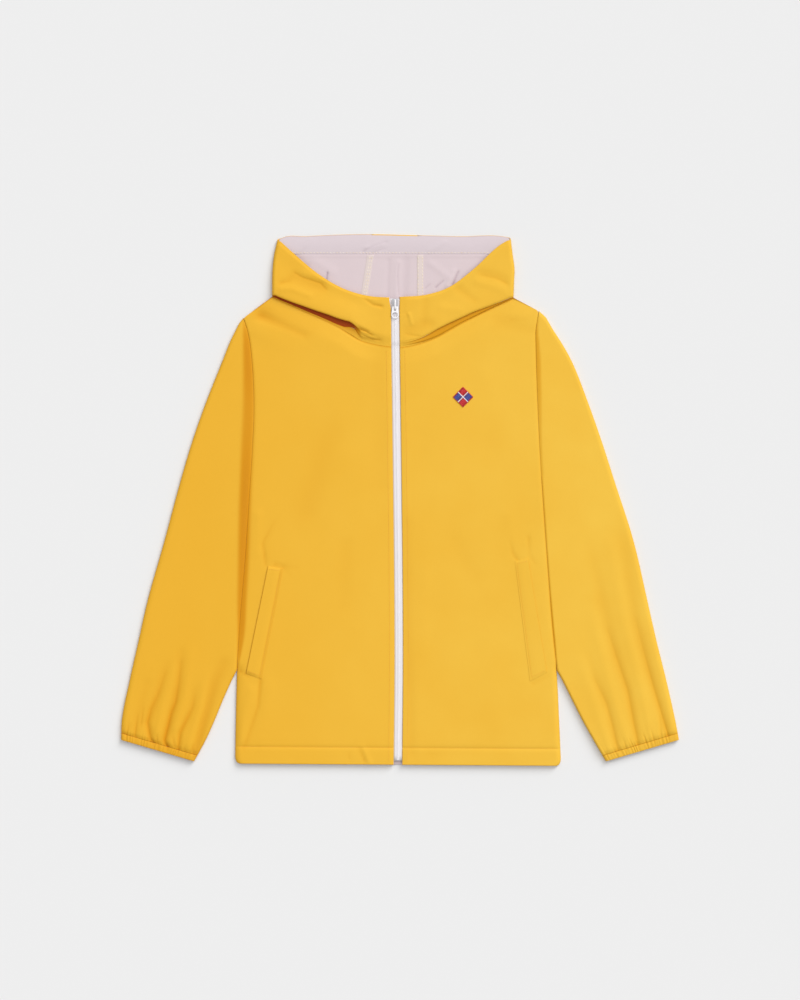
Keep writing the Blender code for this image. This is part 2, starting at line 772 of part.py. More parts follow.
def make_welt(side, finish, collection):
    corners = WELT_RIGHT if side < 0 else WELT_LEFT
    top_inner, top_outer, bottom_outer, bottom_inner = corners
    if side > 0:
        top_inner, top_outer = top_outer, top_inner
        bottom_inner, bottom_outer = bottom_outer, bottom_inner
    down = tuple(i / 8 for i in range(9))

    def place(share, up):
        low = [lerp(a, b, share) for a, b in zip(bottom_outer, bottom_inner)]
        high = [lerp(a, b, share) for a, b in zip(top_outer, top_inner)]
        x, y = (lerp(a, b, up) for a, b in zip(low, high))
        edge = 0.3 * (1 - round_over(min(share, 1 - share), 0.2))
        return x, y, front_skin(side, x, y) + LIFT + WELT_WALL - edge

    name = "pocket_welt_right" if side < 0 else "pocket_welt_left"
    return cloth(name, (0.0, 0.2, 0.5, 0.8, 1.0), down, place, finish, collection, wall=WELT_WALL - 0.3)


def make_badge(finish, collection):
    """Embroidered diamond."""
    def place(a, b):
        x = BADGE_X + (a + b) / 2 * BADGE_HALF
        y = BADGE_Y + (b - a) / 2 * BADGE_HALF
        return x, y, front_skin(1, x, y) + LIFT + BADGE_WALL

    shares = (-1.0, -0.5, 0.0, 0.5, 1.0)
    return cloth("badge", shares, shares, place, finish, collection, wall=BADGE_WALL)


# ---------------------------------------------------------------- zip

def zip_rows():
    low = [lerp(ZIP_BOTTOM_Y, 170.0, i / 12) for i in range(13)]
    return low + [182.0, 190.0, 196.0, 200.0, 204.0, 207.0, 210.0, 213.0, 217.0, 223.0, 232.0, 244.0,
                  256.0, 260.0, 264.0, 267.0, ZIP_TOP_Y]


def make_zip_tape(side, finish, collection):
    """Half of the tape. The two halves part above the chain, round the slider's post."""
    def place(share, y):
        inner = 0.15 + 2.0 * ease((y - 257) / 9)
        return zip_x(y) + side * lerp(inner, ZIP_TAPE_HALF, share), y, tape_height(y)

    name = "zip_tape_right" if side < 0 else "zip_tape_left"
    return cloth(name, (0.0, 0.5, 1.0), zip_rows(), place, finish, collection, wall=ZIP_TAPE_WALL,
                 turned=side < 0)


def chain_top(y):
    return tape_height(y) + LIFT + CHAIN_HEIGHT + 0.2


def make_zip_chain(finish, collection):
    rows = [y for y in zip_rows() if ZIP_BOTTOM_Y <= y <= 264]

    def place(share, y):
        return zip_x(y) + share * CHAIN_HALF, y, chain_top(y) - 0.2 * share ** 2

    return cloth("zip_chain", (-1.0, -0.5, 0.0, 0.5, 1.0), rows, place, finish, collection,
                 wall=CHAIN_HEIGHT)


def slider_heights():
    """Underside of the slider's upper plate, and the height of the pull tab's hinge."""
    plate = chain_top(262) + LIFT
    return plate, plate + SLIDER_PLATE + LIFT + PULL_WALL / 2


def make_slider(finish, collection, tools):
    """Two plates, the post that joins them, and the bridge that holds the pull tab."""
    x = zip_x(262)
    plate, hinge = slider_heights()
    lower = tape_height(262) - ZIP_TAPE_WALL - LIFT
    window_top = hinge + PULL_WALL / 2 + LIFT
    bridge_ends = BRIDGE_WINDOW[0] - BRIDGE_LEG, BRIDGE_WINDOW[1] + BRIDGE_LEG

    def box(name, half, ys, zs, where, bevel=0.0):
        return block(name, (x - half, ys[0], zs[0]), (x + half, ys[1], zs[1]), finish, where, bevel)

    slider = box("zip_slider", SLIDER_HALF_WIDTH, (SLIDER_BOTTOM_Y, SLIDER_TOP_Y),
                 (plate, plate + SLIDER_PLATE), collection, 0.3)
    combine(slider, box("lower_plate", SLIDER_HALF_WIDTH, (SLIDER_BOTTOM_Y + 0.1, SLIDER_TOP_Y - 0.1),
                        (lower - SLIDER_PLATE, lower), tools, 0.25), "UNION")
    combine(slider, box("post", 0.8, (266.6, SLIDER_TOP_Y - 0.6), (lower - 0.5, plate + 0.5), tools),
            "UNION")
    combine(slider, box("bridge", BRIDGE_HALF_WIDTH, bridge_ends,
                        (plate + 0.5, window_top + BRIDGE_LEG), tools, 0.35), "UNION")
    combine(slider, box("ridge", BRIDGE_HALF_WIDTH, (bridge_ends[1] - 0.5, SLIDER_TOP_Y - 0.8),
                        (plate + 0.5, plate + SLIDER_PLATE + 0.6), tools), "UNION")
    combine(slider, box("window", 2 * BRIDGE_HALF_WIDTH, BRIDGE_WINDOW,
                        (plate + SLIDER_PLATE, window_top), tools), "DIFFERENCE")
    return slider


def make_pull(finish, collection, tools):
    """Flat tab with a window that hangs on the bridge and an oval hole near its round end."""
    plate, hinge = slider_heights()
    origin = (zip_x(262), HINGE_Y, hinge)
    end = PULL_LENGTH - PULL_END_HALF
    rows = [(PULL_LENGTH - PULL_END_HALF * (1 - bulge), bulge) for bulge in (0.95, 0.8, 0.55, 0.3)]
    rows += [(run, 0.0) for run in (end, 0.6 * end, 0.25 * end, 0.0, -PULL_WALL / 2)]

    def place(share, row):
        run, bulge = row
        half = lerp(PULL_TOP_HALF, PULL_END_HALF, max(run, 0.0) / end if bulge == 0 else 1.0)
        half *= math.sqrt(1 - bulge ** 2)
        tilt_y, tilt_z = math.cos(PULL_TILT), math.sin(PULL_TILT)
        y = -run * tilt_y + PULL_WALL / 2 * -tilt_z
        return origin[0] + share * half, origin[1] + y, origin[2] - run * tilt_z + PULL_WALL / 2 * tilt_y

    pull = cloth("zip_pull", (-1.0, -0.5, 0.0, 0.5, 1.0), rows, place, finish, collection,
                 wall=PULL_WALL, origin=origin)
    window = block("pull_window", (origin[0] - PULL_WINDOW_HALF, HINGE_Y - PULL_WINDOW_END, hinge - 3),
                   (origin[0] + PULL_WINDOW_HALF, HINGE_Y - PULL_WALL / 2, hinge + 3), finish, tools)
    combine(pull, window, "DIFFERENCE")
    bm = bmesh.new()
    bmesh.ops.create_cone(bm, cap_ends=True, segments=16, radius1=1.6 * MM, radius2=1.6 * MM,
                          depth=8 * MM)
    bmesh.ops.scale(bm, vec=(1.6, 1.0, 1.0), verts=bm.verts)
    hole_at = (origin[0], HINGE_Y - PULL_LENGTH + 4.2, hinge - 1)
    bmesh.ops.translate(bm, vec=[value * MM for value in hole_at], verts=bm.verts)
    combine(pull, add_object("pull_hole", bm, finish, tools), "DIFFERENCE")
    return pull


# ---------------------------------------------------------------- jacket

def main():
    for old in list(bpy.data.objects):
        bpy.data.objects.remove(old, do_unlink=True)
    jacket = bpy.data.collections.new("rain_jacket")
    tools = bpy.data.collections.new("cutters")
    bpy.context.scene.collection.children.link(jacket)
    bpy.context.scene.collection.children.link(tools)

    shell = material("shell_cloth", (0.87, 0.48, 0.05), 0.62)
    lining = material("lining_cloth", (0.74, 0.63, 0.66), 0.7)
    tape = material("zip_tape", (0.83, 0.80, 0.81), 0.8)
    teeth = material("zip_teeth", (0.85, 0.83, 0.84), 0.4)
    metal = material("coated_metal", (0.80, 0.78, 0.79), 0.35, 0.2)
    thread = material("badge_thread", (0.62, 0.04, 0.05), 0.6)

    make_back(shell, jacket)
    make_hood_centre(shell, jacket)
    make_linings(lining, jacket)
    make_brim_facing(lining, jacket)
    for side in (-1, 1):
        make_front(side, shell, jacket)
        make_sleeve(side, shell, jacket)
        make_cuff(side, shell, jacket)
        make_hood_side(side, shell, jacket)
        make_welt(side, shell, jacket)
        make_zip_tape(side, tape, jacket)
    make_zip_chain(teeth, jacket)
    make_slider(metal, jacket, tools)
    make_pull(metal, jacket, tools)
    make_badge(thread, jacket)


main()
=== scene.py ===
"""Looks of a lined rain jacket with a hood, laid flat on its back with the zip closed.

The jacket lies on z = 0 with the hood towards +Y; right and left are the wearer's, so the right
side is at -X. Sizes are in millimetres and become metres where they go into a mesh.
"""

import math
from bisect import bisect_right

import bmesh
import bpy
from mathutils import Matrix, Vector, noise


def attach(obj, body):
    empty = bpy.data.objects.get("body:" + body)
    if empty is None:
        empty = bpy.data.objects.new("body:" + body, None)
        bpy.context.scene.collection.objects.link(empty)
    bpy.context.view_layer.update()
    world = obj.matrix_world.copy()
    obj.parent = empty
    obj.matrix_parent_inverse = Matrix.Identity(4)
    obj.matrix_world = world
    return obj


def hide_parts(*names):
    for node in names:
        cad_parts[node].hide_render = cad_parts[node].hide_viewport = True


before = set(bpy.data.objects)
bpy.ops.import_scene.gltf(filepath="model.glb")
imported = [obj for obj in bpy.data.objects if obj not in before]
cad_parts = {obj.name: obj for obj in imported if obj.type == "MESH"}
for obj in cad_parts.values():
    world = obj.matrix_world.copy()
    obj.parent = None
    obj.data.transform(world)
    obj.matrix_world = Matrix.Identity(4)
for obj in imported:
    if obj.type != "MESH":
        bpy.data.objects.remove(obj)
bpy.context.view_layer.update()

MM = 0.001
SIDES = (-1, 1)
SIDE_NAMES = {-1: "right", 1: "left"}
BODY = "jacket"

# Cloth
SHELL_WALL = 0.6
FLOOR_WALL = 1.2         # back panel: shell and lining together
LINING_WALL = 0.5
TAPE_WALL = 0.8
CAD_WALL = 1.6
SEAM = 0.06              # between two pieces sewn edge to edge
LIFT = 0.35              # between a piece and what lies on it
EDGE_RADIUS = 0.75       # of a turned edge
UNEVEN = 0.2             # height of the slight waves in cloth that has been worn
UNEVEN_ACROSS = 46.0     # rough distance between two of them
UNEVEN_DOWN = 70.0

# Heights above the floor
FRONT_TOP = 7.0
RIM = 1.95               # lower edge of a front, just above the back panel
NECK_REACH = 24          # the fronts sink over this distance towards the neck seam
NECK_SINK = 0.9          # more of it close to the seam
SLEEVE_TOP = 7.2
ROLL_TOP = {-1: 10.8, 1: 9.8}
MOUTH_TOP = 8.2
LINING_TOP = 2.95

# Main lengths
HEM_RIGHT_X = -221.0
HEM_WIDTH = 437.0
HEM_RIGHT_Y = -353.5
HEM_LEFT_Y = -356.5
HEM_CORNER = 10.0
HEM_DEPTH = 23.0         # turned up and stitched
SHOULDER_Y = {-1: 244.0, 1: 253.5}
ARMHOLE_Y = 33.0         # bottom of the armholes
NOTCH_Y = -228.0         # where a sleeve leaves the body's side
CUFF_DEPTH = 9.0
HOOD_FOLD = 4.5          # radius of the hood's side folds
BRIM_SEAM_Y = 329.5      # where the brim's facing is sewn to the lining
TUCK = 14.0              # the lining goes this far under the hood's front edge
CREST_UP = 0.15          # share of the hood's front below the crest of its roll
EDGE_UP = 0.93           # share of it below where it sinks to the edge of the mouth
SIDE_GAP = 0.1           # between the body's side and the sleeve beside it
TIP_GAP = 0.5            # more of it at the shoulder's tip
ARMHOLE_ROUNDING = {-1: 12.0, 1: 6.0}   # of a sleeve beside its armhole
INNER_ROUNDING = {-1: 14.0, 1: 4.0}     # of its inner edge at the top
ROLL_PAINTED_SHADE = {-1: 1.0, 1: 0.40}      # painted shade in the hollow under the hood's roll: how dark its colour is made, 0 to 1
ROLL_RAISED = {-1: 0.0, 1: 2.1}         # height of that hollow's bottom above what ROLL says
LINING_TAPE_HALF = {-1: 4.6, 1: 4.2}
LINING_TAPE_SHIFT = {-1: 2.4, 1: 3.8}   # of its middle from the lining's seam

# Zip
ZIP_HALF_OPENING = 5.7
ZIP_FLARE = {-1: 2.0, 1: 0.5}    # the opening is this much wider at its top
ZIP_TAPE_HALF = 8.6
ZIP_EDGE_DROP = 0.4
ZIP_BOTTOM_Y = -349.5
ZIP_TOP_Y = 270.0
CHAIN_TOP_Y = 262.0
TAPE_RISE = 1.0          # of the part of the tape that shows
CHAIN_LIFT = 1.5         # top of the coil above the tape's edges
TOOTH_PITCH = 1.3
TOOTH_OUT, TOOTH_IN = 2.4, 1.3   # reach of a tooth on its own side of the middle and past it

# Side of the body: y, x of the right side, x of the left side, rounding of each
SIDE = (
    (253.5, -212.8, 185.6, 4.5, 4.5),
    (244, -209.7, 184.4, 4.5, 4.5),
    (227, -204.4, 181.9, 4.5, 5),
    (208, -200.8, 182, 4, 6),
    (133, -195.8, 184.3, 5, 6),
    (62, -198.3, 187.6, 6, 5.5),
    (0, -202.3, 191.6, 8, 6),
    (-81, -207.7, 197.4, 12, 7),
    (-161, -214.4, 203.7, 15, 8),
    (-231, -218.6, 210.2, 15, 8),
    (-300, -220.4, 213.7, 11, 9),
    (-357, -221.4, 216.2, 8, 8),
)

# Outer edge of the sleeves: y, x of the right sleeve, x of the left sleeve
SLEEVE_OUTSIDE = (
    (253.5, -204, 185.6),
    (249, -206.5, 192),
    (244, -209.7, 196.2),
    (238, -214.8, 199.6),
    (228.5, -219.8, 205),
    (214, -227.1, 214.6),
    (187, -237.8, 229.8),
    (133, -259.3, 251.3),
    (80, -278, 270),
    (26, -294.1, 287.4),
    (-54, -315.6, 312.9),
    (-135, -338.4, 331.7),
    (-188, -350.4, 343.7),
    (-242, -362.5, 357.1),
    (-295, -373, 369),
    (-321.5, -374, 374),
)

# Inner edge of the sleeves below the notch
SLEEVE_INSIDE = (
    (-242, -225.8, 217.8),
    (-269, -237.8, 231.2),
    (-295.5, -248.6, 244.6),
    (-322, -260.6, 259.3),
    (-350.4, -276, 276),
)

# Middle of the zip: y, x
ZIP_LINE = (
    (272, -6.7), (200, -5.9), (133, -4.9), (0, -3.2),
    (-134, -1.8), (-230, -1.6), (-357, -2.8),
)

# Neck seam across the fronts: x, y
NECK_SEAM = (
    (-171.5, 272.3), (-128.4, 253.1), (-97, 239.2), (-82, 231.6), (-70, 224),
    (-54.8, 215), (-32, 208.4), (-8, 205.2), (6.7, 205.4), (21.4, 208.4),
    (38, 213.6), (52, 219.6), (66, 227.6), (81, 236.2), (98, 244.8),
    (116, 253.8), (152, 271),
)

# Neck seam at the back: x, y
BACK_NECK = ((-171.5, 272.3), (-120, 265), (-9.7, 261), (100, 264.5), (152, 271))

# Edge of the hood's mouth: x, y
MOUTH = (
    (-162, 348.5), (-142, 330.3), (-110, 303.5), (-78, 284.5),
    (-46, 274.3), (-11.4, 271.6), (2.7, 272.4), (35, 275.2),
    (67, 286.1), (99, 310), (131, 339.7), (146, 349),
)

# Upper edge of the laid-up hood: x, y
BRIM = (
    (-166, 346), (-158, 352), (-126, 353.7), (-78, 356), (-38, 356.5),
    (35, 354.8), (83, 353.6), (135, 354), (148, 350.5), (152, 346),
)

# Side folds of the hood: y, x of the right one, x of the left one
HOOD_SIDE = (
    (271, -171.5, 152),
    (297, -171.5, 153),
    (312, -171, 153.6),
    (330, -169, 151),
    (348, -164.4, 148.5),
)

LINING_SEAMS = ((258, -53, 23.3), (356, -37.5, 23.3))   # y, x of the right and the left seam

# Where the hood rolls over above the neck seam: x, distance of the roll's edge above the seam,
# width of the hollow below the edge, how far the hollow goes in under the roll, its lowest height,
# and how much of the roll there is
ROLL = {
    -1: (
        (-171.5, 3.4, 2.6, 1.5, 4, 0.8),
        (-166, 3.6, 3, 2.5, 3.4, 1),
        (-146, 4.4, 3.4, 3.4, 2.9, 1),
        (-128, 6.1, 4.8, 4.4, 2.7, 1),
        (-111, 7.5, 6, 5, 2.6, 1),
        (-97, 9.2, 7.6, 5.2, 2.6, 1),
        (-83, 11, 8.6, 5.2, 2.6, 1),
        (-75, 13.6, 9.2, 5, 2.6, 1),
        (-67, 16.4, 7.4, 4.5, 2.7, 1),
        (-61, 16.2, 4.8, 2, 3.8, 0.9),
        (-56, 15.2, 3.6, 0.4, 4.8, 0.45),
        (-51, 14, 3, 0, 5.8, 0),
        (-44, 13, 1.5, 0, 6, 0),
        (0, 12, 1, 0, 6.5, 0),
    ),
    1: (
        (152, 1.6, 1, 0.3, 5.2, 0.8),
        (142, 2.2, 1.8, 0.6, 4.8, 1),
        (116, 4.6, 4.3, 1.2, 4.3, 1),
        (98, 6.9, 6.6, 1.4, 4, 1),
        (81, 7.6, 7.2, 1.4, 3.8, 1),
        (67, 9.2, 8.8, 1.2, 3.8, 1),
        (51, 10.3, 9.8, 0.8, 4, 1),
        (37, 8.2, 7.4, 0.4, 4.4, 0.95),
        (25, 6.2, 4.8, 0, 5, 0.75),
        (12, 5.2, 2.6, 0, 5.6, 0.3),
        (2, 5, 1.5, 0, 6.3, 0),
        (-12, 5, 1, 0, 6.5, 0),
    ),
}

# Folds: half width and height (below zero is a trough) at the first end, the same at the last end,
# and the points between them
FRONT_FOLDS = {
    -1: (
        (8, -2, 6, -0.7, ((-186, 247), (-170, 240), (-150, 231), (-128, 221))),
        (18, -1.2, 14, -0.3, ((-188, 255), (-160, 246), (-121, 228))),
        (16, 0.7, 16, 0.2, ((-190, 226), (-140, 204))),
        (22, -0.3, 24, -0.5, ((-94, 93), (-110, 39), (-124, -14))),
        (20, 0.4, 20, 0.2, ((-70, 60), (-96, -20))),
        (14, -0.35, 14, -0.2, ((-73, -61), (-78, -142))),
        (9, 0.7, 9, 0.3, ((-190, -20), (-192, -70))),
        (9, 0.8, 8, 0.5, ((-200, -255), (-212, -318))),
        (12, 0.4, 14, 0.3, ((-176, -250), (-186, -325))),
        (5, 0.6, 5, 0.9, ((-51, -331), (-41, -352))),
        (16, -0.3, 18, -0.3, ((-30, 180), (-24, 20))),
    ),
    1: (
        (14, -0.54, 10, -0.3, ((134, 239), (174, 226))),
        (16, 0.36, 18, 0.12, ((112, 168), (124, 120))),
        (15, -0.18, 16, -0.24, ((72, -54), (100, -104))),
        (12, 0.3, 9, 0.18, ((146, -20), (152, -62))),
        (8, -0.3, 9, -0.48, ((9, -30), (10, -190), (15, -340))),
        (14, 0.24, 14, 0.18, ((34, -40), (30, -200))),
        (14, -0.18, 12, -0.3, ((96, -334), (40, -343))),
        (12, 0.3, 12, 0.18, ((186, -110), (202, -215))),
        (20, 0.18, 20, 0.18, ((120, -180), (128, -300))),
    ),
}

# Sharper creases, in the same columns
FRONT_CREASES = {
    -1: (
        (3.5, -0.2, 3, -1, ((-168, -28), (-184, -58), (-180, -86))),
        (3, -1.1, 3, -0.3, ((-168, -87), (-139, -91.5))),
        (2.5, -0.7, 2.5, -0.2, ((-157, -90), (-148, -101))),
        (3, -1.4, 4.5, -0.7, ((-187, -242), (-190, -276), (-200, -306), (-209, -332))),
        (2.6, -1.3, 2.6, -1, ((-215, -229), (-204, -235.5))),
        (2.5, -0.8, 3, -0.9, ((-53, -335), (-47, -350))),
        (2.5, -0.5, 2.5, -0.4, ((-69, -341), (-67, -350))),
    ),
    1: (
        (2.5, -0.5, 2.5, -0.2, ((145, 242), (169, 240.5))),
        (2.6, -0.3, 2.6, -0.9, ((148, -56), (151, -72), (158, -81))),
        (2.6, -0.9, 2.6, -0.3, ((172, -50), (173, -74), (182, -86))),
        (2.6, -0.3, 2.6, -0.6, ((198, -236), (178, -246))),
    ),
}

# Painted shade in the valley between the body and a sleeve: y, where its middle lies beside the seam, half
# width, how much shade
VALLEY_SHADE = {
    -1: (
        (-229, 0, 1.2, 0),
        (-212, 1.4, 2.6, 0.30),
        (-178, 2.6, 5.1, 0.42),
        (-132, 0.4, 6.6, 0.44),
        (-52, -3.4, 8, 0.46),
        (39, -6.6, 8.2, 0.44),
        (85, -7.2, 8.4, 0.38),
        (130, -7, 8, 0.38),
        (176, -6, 6.8, 0.44),
        (221, -3.4, 4.4, 0.38),
        (238, -1.2, 2.2, 0.20),
        (246, 0, 1.2, 0),
    ),
    1: (
        (-229, 0, 1, 0),
        (-212, 0.3, 1.5, 0.24),
        (-100, 0.3, 1.5, 0.24),
        (0, 0.6, 1.8, 0.18),
        (80, 1.4, 2.4, 0.16),
        (150, 2.6, 3.4, 0.26),
        (200, 2.4, 3.2, 0.30),
        (232, 1, 1.8, 0.20),
        (246, 0, 1, 0),
    ),
}

HOOD_FOLDS = {
    -1: (
        (7, 0.6, 6, 0.7, ((-128, 304), (-98, 294))),
        (6, -0.6, 7, -0.4, ((-168, 289), (-150, 295))),
        (6, 0.8, 6, 0.5, ((-168, 282), (-146, 283), (-122, 274))),
        (10, -0.7, 10, -0.7, ((-143, 298), (-128, 291), (-108, 284))),
        (3.5, -0.3, 3.5, -0.6, ((-48, 270), (-36, 262), (-24, 259))),
        (4, -1.2, 3, -0.9, ((-60, 232), (-44, 226))),
        (3.2, 1, 3, 0.6, ((-64, 224), (-48, 219.5), (-34, 217))),
        (14, 0.4, 14, 0.4, ((-84, 262), (-52, 252))),
    ),
    1: (
        (9, -0.5, 8, -0.5, ((107, 305), (128, 301), (150, 290))),
        (8, 0.6, 8, 0.4, ((104, 292), (126, 286), (146, 277))),
        (9, -0.6, 8, -0.5, ((78, 283), (98, 268))),
        (9, 0.5, 9, 0.4, ((56, 258), (80, 254))),
        (3, 1, 3, 0.6, ((12, 249), (16, 236))),
        (12, -0.7, 10, -0.7, ((12, 228), (40, 236))),
        (8, -0.4, 8, -0.5, ((34, 266), (31, 240))),
    ),
}

HOOD_CREASES = {
    -1: (
        (3.4, -0.7, 4.5, -0.9, ((-141, 304), (-131, 298), (-117, 293.5), (-106, 290),
                                (-100.5, 283))),
        (3, -0.8, 2.6, -0.5, ((-169, 287), (-158, 291), (-149, 293))),
        (2.4, -0.3, 2.4, -0.7, ((-46, 268), (-36, 261), (-26, 259.5))),
        (2.6, -1.4, 2.2, -0.9, ((-58, 230), (-47, 226), (-38, 221))),
        (2, -1, 2, -0.8, ((-50, 221), (-38, 215.6), (-27, 214))),
    ),
    1: (
        (3.4, -0.35, 3.2, -0.6, ((110, 301), (129, 297), (150, 286))),
        (2.4, -0.4, 2.4, -0.2, ((8, 250), (11, 238))),
        (2.6, -0.4, 2.6, -0.6, ((8, 222), (26, 219))),
    ),
}

SLEEVE_FOLDS = {
    -1: (
        (9, -0.4, 6, -1, ((-293, -205), (-297, -248), (-306, -285), (-315, -320),
                                (-312, -336))),
        (9, -0.3, 6, -0.9, ((-312, -222), (-325, -262), (-338, -298), (-333, -328))),
        (8, -0.3, 5, -0.8, ((-275, -255), (-279, -280), (-295, -312), (-297, -338))),
        (11, -0.6, 8, -1.7, ((-237, -219), (-249, -246), (-257, -274), (-264, -298),
                                 (-274, -338))),
        (9, 0.2, 6, 0.8, ((-280, -205), (-288, -262), (-302, -306))),
        (9, 0.2, 6, 0.8, ((-304, -225), (-318, -275), (-326, -312))),
        (10, 0.2, 7, 0.9, ((-262, -235), (-268, -280), (-284, -326))),
        (9, -0.3, 7, -0.6, ((-340, -245), (-352, -290), (-356, -322))),
    ),
    1: (
        (13, -0.26, 8, -0.85, ((253, -60), (268, -125), (279, -175), (292, -219),
                                 (306, -262), (319, -330))),
        (13, -0.33, 8, -0.91, ((297, -50), (306, -110), (317, -170), (332, -226),
                                 (350, -285), (360, -320))),
        (10, -0.2, 7, -0.65, ((250, -205), (262, -241), (278, -278), (291, -338))),
        (14, 0.33, 7, 0.52, ((280, -60), (296, -150), (322, -250), (336, -312))),
        (12, 0.26, 7, 0.52, ((255, -150), (276, -230), (302, -318))),
        (12, 0.2, 7, 0.45, ((240, -215), (262, -280), (280, -334))),
    ),
}

SLEEVE_CREASES = {
    -1: (
        (5, -0.5, 3.4, -2, ((-294, -218), (-297.5, -248.6), (-301, -271), (-306.6, -285),
                                (-312.2, -307.8), (-316, -323), (-311, -332))),
        (5.5, -0.4, 3.2, -1.5, ((-315, -232), (-325, -262), (-334, -280.5), (-338.5, -298.7),
                                (-335, -319), (-329, -327))),
        (4, -0.3, 3, -1.3, ((-275.8, -264.6), (-279.3, -280.5), (-286.1, -294.1), (-295, -312.5),
                                (-297.5, -334))),
        (2.6, -0.3, 2.2, -0.9, ((-352, -289), (-355.5, -316))),
        (2.6, -0.3, 2.2, -0.9, ((-363, -300), (-366.5, -315))),
        (2.6, -0.3, 2.2, -0.8, ((-344.5, -279), (-347, -301))),
        (2.2, -0.4, 2, -1, ((-326, -314), (-325, -326))),
        (2.2, -0.4, 2, -1, ((-305, -317), (-302, -330))),
        (2.2, -0.4, 2, -0.8, ((-289, -331), (-288, -339))),
        (2.2, -0.4, 2, -0.8, ((-278, -329), (-277, -343))),
    ),
    1: (
        (7, -0.32, 4.6, -0.98, ((278.7, -175), (287, -202), (305, -255), (313, -298),
                                (319, -326))),
        (8, -0.24, 4.4, -1.12, ((316, -161), (327, -205), (338, -245), (350, -285),
                                (359, -315))),
        (6, -0.24, 4.4, -0.83, ((260, -239), (276, -271), (285, -304), (292, -336))),
        (2.2, -0.32, 2, -0.75, ((300, -321), (303, -334))),
        (2.2, -0.24, 2, -0.6, ((308, -320), (311, -330))),
        (2.2, -0.32, 2, -0.75, ((326, -314), (330, -326))),
        (2.2, -0.32, 2, -0.75, ((336, -307), (340.5, -322))),
        (2.6, -0.24, 2.2, -0.75, ((348, -290), (350, -315))),
        (2.2, -0.24, 2, -0.6, ((366, -292), (367, -312))),
        (2.2, -0.32, 2, -0.6, ((276, -332), (278, -343))),
    ),
}

LINING_FOLDS = (
    (6, 0.7, 6, 0.5, ((-5, 268), (-3, 318))),
    (7, -0.5, 7, -0.4, ((6, 268), (8, 322))),
    (5, -0.5, 5, -0.4, ((-17, 268), (-15, 320))),
    (9, 0.5, 9, 0.4, ((-116, 322), (-90, 306))),
    (7, 0.5, 7, 0.4, ((40, 318), (66, 298))),
    (6, 0.8, 6, 0.5, ((64, 288), (72, 306))),
    (7, -0.7, 6, -0.5, ((-146, 333), (-124, 314))),
    (6, -0.8, 6, -0.8, ((86, 297), (104, 312), (120, 328))),
)
LINING_CREASES = (
    (1.6, -1.3, 1.6, -1.3, ((-99, 295), (-97.4, 305))),
    (2.6, -1.4, 2, -0.9, ((71, 289), (74, 297), (77.8, 306))),
    (1.6, -1, 1.6, -0.7, ((48, 285), (57.6, 293.6))),
    (1.6, -0.5, 1.6, -0.4, ((34, 284), (40, 289))),
    (2, -0.5, 2, -0.5, ((-2, 276), (-3.4, 300), (-2, 316))),
)
FACING_FOLDS = (
    (5, 0.6, 4, 0.4, ((-44, 338), (-24, 343))),
    (8, 0.4, 8, 0.3, ((-134, 334), (-120, 348))),
    (5, 0.4, 5, 0.4, ((40, 334), (60, 346))),
)
FACING_CREASES = (
    (1.8, -0.7, 1.8, -0.5, ((-49.6, 333), (-35.5, 341), (-18, 346.4))),
    (1.8, -0.5, 1.8, -0.4, ((-36, 331.6), (-20, 337))),
    (1.8, -0.5, 1.8, -0.3, ((-134, 331), (-128, 338))),
)

# Slanted welts of the pockets, corners: top inner, top outer, bottom outer, bottom inner
WELT = {
    -1: ((-156.8, -91.8), (-176.9, -88.4), (-206.4, -232.5), (-185.9, -239.9)),
    1: ((154, -82), (171.5, -77.5), (197, -231), (174.2, -243)),
}
WELT_RISE = {-1: 1.2, 1: 0.5}
WELT_SHARPNESS = {-1: 1.0, 1: 0.35}   # of its sewn and folded edges, and of the painted shade along them
WELT_SEWN = 0.88                      # share of its width at which it is sewn down
STITCH_RISE = 0.12                    # of a line of stitches above the cloth

BADGE_X = 84.4
BADGE_Y = 138.0
BADGE_HALF = 13.7

# Slider and pull tab
HINGE_Y = 258.6
PULL_LENGTH = 15.6
PULL_WALL = 1.2
PULL_TOP_HALF = 3.7
PULL_END_HALF = 5.1
PULL_TILT = math.radians(4.0)
WINDOW_HALF, WINDOW_TOP, WINDOW_BOTTOM = 1.6, -0.85, -5.3    # from the hinge
HOLE_HALF_WIDTH, HOLE_HALF_LENGTH = 4.0, 3.5
SLIDER_TOP_Y = 269.6
SLIDER_BOTTOM_Y = 255.0
SLIDER_HALF = 4.2
SLIDER_PLATE = 1.1
SLIDER_OPENING = 1.4     # between its upper plate and the tape, with a LIFT on both sides
POST_Y = 267.8
# Arch of its bridge: y, height above the upper plate's underside
BRIDGE = (
    (268.6, 0.7), (267.2, 2.0), (264.6, 2.9), (261.0, 3.6),
    (257.6, 3.7), (255.8, 3.1), (255.3, 2.0), (255.5, 0.8),
)
BRIDGE_HALF_WIDTH = 0.9
BRIDGE_HALF_WALL = 0.5
BRIDGE_STEPS = 28


# ---------------------------------------------------------------- small maths

def lerp(a, b, t):
    return a + (b - a) * t


def steps(first, last, count):
    """Evenly spaced values, both ends among them."""
    return [lerp(first, last, i / count) for i in range(count + 1)]


def ease(t):
    t = min(max(t, 0.0), 1.0)
    return t * t * (3 - 2 * t)


def round_over(distance, radius):
    """Quarter ellipse: 0 at the edge, 1 from the radius on."""
    t = min(max(distance / radius, 0.0), 1.0)
    return math.sqrt(1 - (1 - t) ** 2)


def groove(distance, width, power=2):
    """1 in the middle of a groove, towards 0 beside it."""
    return math.exp(-(distance / width) ** power)


